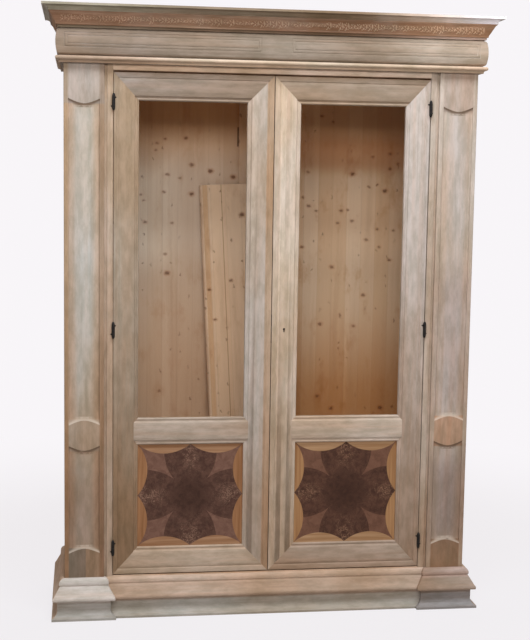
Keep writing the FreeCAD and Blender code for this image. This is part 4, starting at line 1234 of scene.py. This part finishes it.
@dataclass
class Carving:
    """The running leaves on the crown's sloping strip, from its low edge (out, z) to its high."""

    finish: bpy.types.Material
    low: Pair = (0.024, 2.109)
    high: Pair = (0.050, 2.155)
    sink: float = 0.0018
    pitch: float = 0.0215
    size_spread: float = 0.6
    tilt: float = 0.34
    front_length: float = 1.52
    return_length: float = 0.42
    return_middle: float = 0.022

    def leaves(self) -> bpy.types.Mesh:
        """Build the motif: a tall leaf, two short ones that lean, and small buds beside them."""
        half, lean = self.pitch / 2, self.pitch / 4
        return relief_mesh("leaf motif", [
            (-lean, 0.0005, 0.0064, 0.0250, 0.0018, -5.0),
            (lean, 0.0078, 0.0060, 0.0136, 0.0016, 24.0),
            (lean, -0.0074, 0.0060, 0.0130, 0.0016, -20.0),
            (half, 0.0004, 0.0044, 0.0056, 0.0014, 0.0),
            (0.0, 0.0126, 0.0044, 0.0052, 0.0015, 0.0),
            (half, -0.0126, 0.0046, 0.0054, 0.0015, 30.0),
            (0.0, 0.0004, 0.0036, 0.0046, 0.0013, 0.0),
            (0.0, -0.0124, 0.0044, 0.0050, 0.0014, -20.0)])

    def run(self, name: str, outward: Point, length: float, middle: float, seed: int) -> None:
        """Lay one run of leaves.

        Args:
            name: the piece's name.
            outward: the way that the strip faces in plan.
            length: how long the run is.
            middle: where its middle lies along the strip.
            seed: the seed of the leaves' small differences.
        """
        rise, reach = self.high[1] - self.low[1], self.high[0] - self.low[0]
        slope = math.hypot(rise, reach)
        out = Vector(outward)
        normal = (out * rise + Vector((0.0, 0.0, -reach))) / slope
        upward = (out * reach + Vector((0.0, 0.0, rise))) / slope
        low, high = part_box("right_pilaster")
        place = Vector((out.x * high.x, low.y if out.y else middle, 0.0))
        place += out * (self.low[0] + reach / 2)
        place.z = (self.low[1] + self.high[1]) / 2
        place -= normal * self.sink
        mesh = grown(name, run_tree(), bpy.data.meshes.new("run start"), self.leaves(), {
            "Length": length, "Pitch": self.pitch, "Size Spread": self.size_spread,
            "Tilt": self.tilt, "Seed": seed, "Finish": self.finish})
        turn = Matrix((normal.cross(upward), normal, upward)).transposed().to_4x4()
        mesh.transform(Matrix.Translation(place) @ turn)
        add_piece(name, mesh, self.finish, "root")

    def build(self) -> None:
        """Lay the leaves on the front and on both returns."""
        self.run("carved_leaves_front", (0.0, -1.0, 0.0), self.front_length, 0.0, 3)
        for side, way, seed in (("left", -1.0, 5), ("right", 1.0, 7)):
            self.run(f"carved_leaves_{side}", (way, 0.0, 0.0), self.return_length,
                     self.return_middle, seed)


@dataclass
class Door:
    """One framed door with its pane and its marquetry, and the level of each of its woods."""

    cabinet: Cabinet
    side: str
    stile_pale: Pair
    seed: float
    levels: dict[str, Colour]
    zones: tuple[Zone, ...] = ()
    corner_dark: Colour = (0.145, 0.072, 0.05)
    corner_middle: Colour = (0.21, 0.112, 0.08)
    corner_light: Colour = (0.28, 0.165, 0.12)

    def wood(self, part: str, grain: Grain, seed: int, pale: float, **looks: object) -> RawWood:
        """Return the wood of one of the door's parts."""
        return RawWood(f"{self.side} door {part} wood", grain, self.seed + seed, pale,
                       level=self.levels.get(part, PLAIN), **looks)

    def build(self) -> None:
        """Dress the door's pieces."""
        low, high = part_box(f"{self.side}_door_panel")
        middle = ((low.x + high.x) / 2, (low.z + high.z) / 2)
        hinge, meeting = self.stile_pale
        frame = {
            "hinge_stile": self.wood("hinge stile", Grain.UPRIGHT, 0, hinge),
            "meeting_stile": self.wood("meeting stile", Grain.UPRIGHT, 1, meeting,
                                       streak_depth=0.2, zones=self.zones),
            "top_rail": self.wood("top rail", Grain.ACROSS, 2, 0.4),
            "mid_rail": self.wood("middle rail", Grain.ACROSS, 3, 0.7),
            "bottom_rail": self.wood("bottom rail", Grain.ACROSS, 4, 0.55),
            "panel": self.wood("panel", Grain.UPRIGHT, 6, 0.3)}
        for part, finish in frame.items():
            self.cabinet.dress(f"{self.side}_door_{part}", finish, 0.0006,
                               shortest=0.03 if part == "meeting_stile" else 0.0)
        title = f"{self.side} door"
        burl = self.levels["petals"]
        for part, finish in (
                ("glazing_beads", self.wood("bead", Grain.UPRIGHT, 5, 0.4)),
                ("petals", BurlVeneer(f"{title} petal burl", middle, self.seed, level=burl)),
                ("corner_veneers", BurlVeneer(
                    f"{title} corner walnut", middle, self.seed + 3, self.corner_dark,
                    self.corner_middle, self.corner_light, 0.5, heart_share=0.0, level=burl)),
                ("scallops", EdgeVeneer(f"{title} scallop cherry", middle, self.seed,
                                        level=self.levels["scallops"])),
                ("glass", ClearPane(f"{title} pane"))):
            self.cabinet.coat(f"{self.side}_door_{part}", finish)


@dataclass(frozen=True)
class TurnedHinge:
    """A screw-in hinge, turned: two halves on one pin, each with a threaded stud."""

    radius: float = 0.0057
    half: float = 0.0305
    gap: float = 0.00015
    pin: float = 0.003
    pin_top: float = 0.02215
    pin_edge: float = 0.0006
    bore: float = 0.0032
    bore_top: float = 0.023
    stud: float = 0.0028
    stud_root: float = 0.0044
    stud_length: float = 0.025
    stud_level: float = 0.01525
    threads: int = 9

    def outside(self, way: int) -> list[Pair]:
        """Draw the turned outline from the gap to the finial.

        Args:
            way: 1 upwards, -1 downwards.

        Returns:
            Pairs of radius and height.
        """
        r, h = self.radius, self.half
        shape = [(0.93 * r, self.gap), (r, 0.02 * h), (r, 0.6 * h), (0.93 * r, 0.615 * h),
                 (0.93 * r, 0.635 * h), (r, 0.65 * h), (0.97 * r, 0.71 * h), (0.88 * r, 0.79 * h),
                 (0.74 * r, 0.87 * h), (0.54 * r, 0.94 * h), (0.28 * r, 0.985 * h), (0.0, h)]
        return [(radius, way * height) for radius, height in shape]

    def barrel(self, way: int) -> bpy.types.Mesh:
        """Return the upper half with its bore (1), or the lower half with its pin (-1)."""
        if way > 0:
            inside = [(0.0, self.bore_top), (self.bore, self.bore_top), (self.bore, self.gap)]
        else:
            inside = [(0.0, self.pin_top), (0.85 * self.pin, self.pin_top),
                      (self.pin, self.pin_top - self.pin_edge), (self.pin, -self.gap)]
        return lathe_mesh("barrel", inside + self.outside(way))

    def template(self, way: int, into_x: int) -> bpy.types.Mesh:
        """Build one half with its stud.

        Args:
            way: 1 for the upper half, -1 for the lower.
            into_x: the way in X that the stud runs into the wood.

        Returns:
            The half, with the hinge's middle at the origin.
        """
        pitch = self.stud_length / self.threads
        profile = [(0.0, 0.0)]
        for turn in range(self.threads):
            profile += [(0.82 * self.stud, turn * pitch), (self.stud, (turn + 0.5) * pitch)]
        profile += [(0.5 * self.stud, self.stud_length), (0.0, self.stud_length)]
        stud = lathe_mesh("stud", profile, 12)
        direction = Vector((into_x, 1.0, 0.0)).normalized()
        turn = direction.to_track_quat("Z", "Y").to_matrix().to_4x4()
        start = direction * self.stud_root + Vector((0.0, 0.0, way * self.stud_level))
        stud.transform(Matrix.Translation(start) @ turn)
        return joined("hinge half", [self.barrel(way), stud])


@dataclass
class Ironmongery:
    """Hinges, lock and bolts."""

    cabinet: Cabinet
    level_shares: tuple[float, ...] = (0.055, 0.497, 0.943)
    hinge: TurnedHinge = TurnedHinge()
    ease: float = 0.0003
    iron: Metal = Metal("black iron", (0.006, 0.005, 0.005), (0.03, 0.024, 0.021), 0.6, 0.5)
    blued: Metal = Metal("blued steel", (0.012, 0.011, 0.011), (0.05, 0.047, 0.045), 0.8, 0.45)
    steel: Metal = Metal("lock steel")

    def halves(self, side: int, way: int) -> bpy.types.Mesh:
        """Grow the three halves of one kind on one side of the opening.

        Args:
            side: -1 for the left side, 1 for the right.
            way: 1 for the door's halves, -1 for the frame's.

        Returns:
            Their mesh, in the part's frame.
        """
        low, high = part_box("right_door_hinge_stile")
        near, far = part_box("right_door_hinge_barrels")
        axis_x, axis_y = far.x - self.hinge.radius, near.y + self.hinge.radius
        points = bpy.data.meshes.new("hinge places")
        points.from_pydata([(side * axis_x, axis_y, low.z + share * (high.z - low.z))
                            for share in self.level_shares], [], [])
        return grown("hinge halves", copies_tree(), points,
                     self.hinge.template(way, -side * way),
                     {"Finish": self.cabinet.material(self.iron)})

    def build(self) -> None:
        """Dress the metal pieces."""
        cabinet = self.cabinet
        for side, sign in (("left", -1), ("right", 1)):
            cabinet.stand_in(f"{side}_door_turned_hinges", self.halves(sign, 1), self.iron,
                             f"{side}_door_hinge_barrels")
        frame_halves = joined("frame hinges", [self.halves(sign, -1) for sign in (-1, 1)])
        cabinet.stand_in("frame_turned_hinges", frame_halves, self.iron, "frame_hinge_barrels")
        cabinet.dress("lock_case", self.blued, self.ease)
        for node in ("lock_bolt", "top_bolt", "bottom_bolt", "bolt_guides"):
            cabinet.dress(node, self.steel, self.ease)


@dataclass(frozen=True)
class Lamp:
    """A soft lamp: its place, what it points at, its size, its power in watts and its colour."""

    name: str
    place: Point
    target: Point
    size: Pair
    power: float
    colour: Colour

    def hang(self) -> None:
        """Add the lamp to the scene."""
        data = bpy.data.lights.new(self.name, "AREA")
        data.shape = "RECTANGLE"
        data.size, data.size_y = self.size
        data.energy = self.power
        data.color = self.colour
        lamp = linked(self.name, data)
        lamp.visible_camera = False
        lamp.location = self.place
        aim = Vector(self.target) - Vector(self.place)
        lamp.rotation_euler = aim.to_track_quat("-Z", "Y").to_euler()


@dataclass(frozen=True)
class Studio:
    """The floor, the light and the camera."""

    camera_place: Point = (-0.6760, -4.6845, 1.5978)
    camera_turns: Point = (-0.1126, 0.0007, -0.1424)
    focal_length: float = 71.395
    sensor: float = 36.0
    clip_end: float = 60.0
    white: Colour = (0.94, 0.915, 0.94)
    floor_dark: Colour = (0.52, 0.515, 0.52)
    floor_light: Colour = (0.58, 0.575, 0.58)
    floor_size: float = 14.0
    sky: Colour = (1.0, 0.76, 0.55)
    sky_strength: float = 0.24
    lamps: tuple[Lamp, ...] = (
        Lamp("front lamp", (-0.5, -3.2, 2.65), (0.0, 0.0, 1.5), (2.2, 0.7), 42.0,
             (1.0, 0.97, 0.94)),
        Lamp("high lamp", (0.1, -1.75, 4.5), (0.0, -0.2, 1.4), (2.4, 1.1), 134.0,
             (0.86, 0.94, 1.0)),
        Lamp("back lamp", (0.5, 3.2, 2.4), (0.0, 0.2, 1.2), (2.4, 1.6), 50.0, (1.0, 0.98, 0.96)))

    def build(self) -> None:
        """Build the floor, the world, the lamps and the camera."""
        self.make_floor()
        self.make_world()
        for lamp in self.lamps:
            lamp.hang()
        self.make_camera()

    def make_floor(self) -> None:
        """Build the pale floor, which shows white and keeps the shadow."""
        bm = bmesh.new()
        bmesh.ops.create_grid(bm, x_segments=8, y_segments=8, size=self.floor_size)
        floor = linked("floor", as_mesh(bm, "floor", 180))
        s = Surface("pale floor")
        tone = s.noise(s.place, (2.0, 2.0, 2.0))
        s.feed(s.shader, {"Base Color": s.mix(tone, rgba(self.floor_dark), rgba(self.floor_light)),
                          "Roughness": 0.9, "Specular IOR Level": 0.1})
        path = s.add("ShaderNodeLightPath").outputs
        share = s.plus(0.86, s.times(s.ramp(s.length(s.place), 1.2, 3.2), 0.14))
        seen = s.math("MAXIMUM", path["Is Camera Ray"], path["Is Transmission Ray"])
        s.share_with(s.times(seen, share), s.add("ShaderNodeEmission", {0: rgba(self.white),
                                                                        1: 1.0}))
        floor.data.materials.append(s.material)

    def make_world(self) -> None:
        """Build the world: white to the camera, soft and warm to the object."""
        world = bpy.data.worlds.new("studio")
        bpy.context.scene.world = world
        world.use_nodes = True
        world.node_tree.nodes.clear()
        g = Graph(world.node_tree)
        path = g.add("ShaderNodeLightPath").outputs
        shown = g.math("MAXIMUM", path["Is Camera Ray"],
                       g.math("MAXIMUM", path["Is Glossy Ray"], path["Is Transmission Ray"]))
        soft = g.add("ShaderNodeBackground", {0: rgba(self.sky), 1: self.sky_strength})
        plain = g.add("ShaderNodeBackground", {0: rgba(self.white), 1: 1.0})
        both = g.add("ShaderNodeMixShader", {0: shown, 1: soft.outputs[0], 2: plain.outputs[0]})
        g.add("ShaderNodeOutputWorld", {0: both.outputs[0]})

    def make_camera(self) -> None:
        """Add the camera at the photograph's place."""
        data = bpy.data.cameras.new("camera")
        data.sensor_fit = "VERTICAL"
        data.sensor_height = self.sensor
        data.lens = self.focal_length
        data.clip_end = self.clip_end
        camera = linked("camera", data)
        pitch, roll, yaw = self.camera_turns
        turn = (Matrix.Rotation(roll, 3, "Y") @ Matrix.Rotation(pitch, 3, "X")
                @ Matrix.Rotation(yaw, 3, "Z") @ Matrix.Rotation(math.pi / 2, 3, "X"))
        camera.matrix_world = Matrix.Translation(self.camera_place) @ turn.to_4x4()
        bpy.context.scene.camera = camera
        bpy.context.scene.view_settings.view_transform = "Standard"


def main() -> None:
    """Build the scene."""
    logging.basicConfig(level=logging.INFO, format="%(name)s: %(message)s")
    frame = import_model()
    cabinet = Cabinet(frame)
    for assembly in (Carcass, Front, Plinth, Cornice):
        assembly(cabinet).build()
    Door(cabinet, "left", (0.4, 0.6), 51.0, {
        "hinge stile": (0.73, 0.71, 0.66), "meeting stile": (0.93, 0.98, 1.05),
        "top rail": (0.68, 0.69, 0.72), "middle rail": (0.9, 0.9, 0.9),
        "bottom rail": (1.15, 1.25, 1.35), "petals": (1.0, 0.97, 0.96),
        "scallops": (0.94, 0.95, 1.0)},
         (Zone((-0.026, 0.0), (0.0, 2.0), (0.94, 0.78, 0.62), 0.003),)).build()
    Door(cabinet, "right", (0.75, 0.5), 61.0, {
        "hinge stile": (0.9, 0.9, 0.93), "meeting stile": (1.18, 1.25, 1.3),
        "top rail": (0.75, 0.72, 0.68), "middle rail": (1.2, 1.28, 1.36),
        "bottom rail": (0.9, 0.91, 0.94), "petals": (0.88, 0.78, 0.68),
        "scallops": (1.1, 1.22, 1.28)},
         (Zone((0.0, 0.0), (0.11, 0.70), (0.86, 0.84, 0.80), 0.12),
          Zone((0.0, 0.72), (0.11, 1.40), (1.12, 1.2, 1.3), 0.2),
          Zone((0.0, 1.42), (0.11, 2.1), (0.93, 0.9, 0.89), 0.12))).build()
    Ironmongery(cabinet).build()
    Studio().build()


if __name__ == "__main__":
    main()
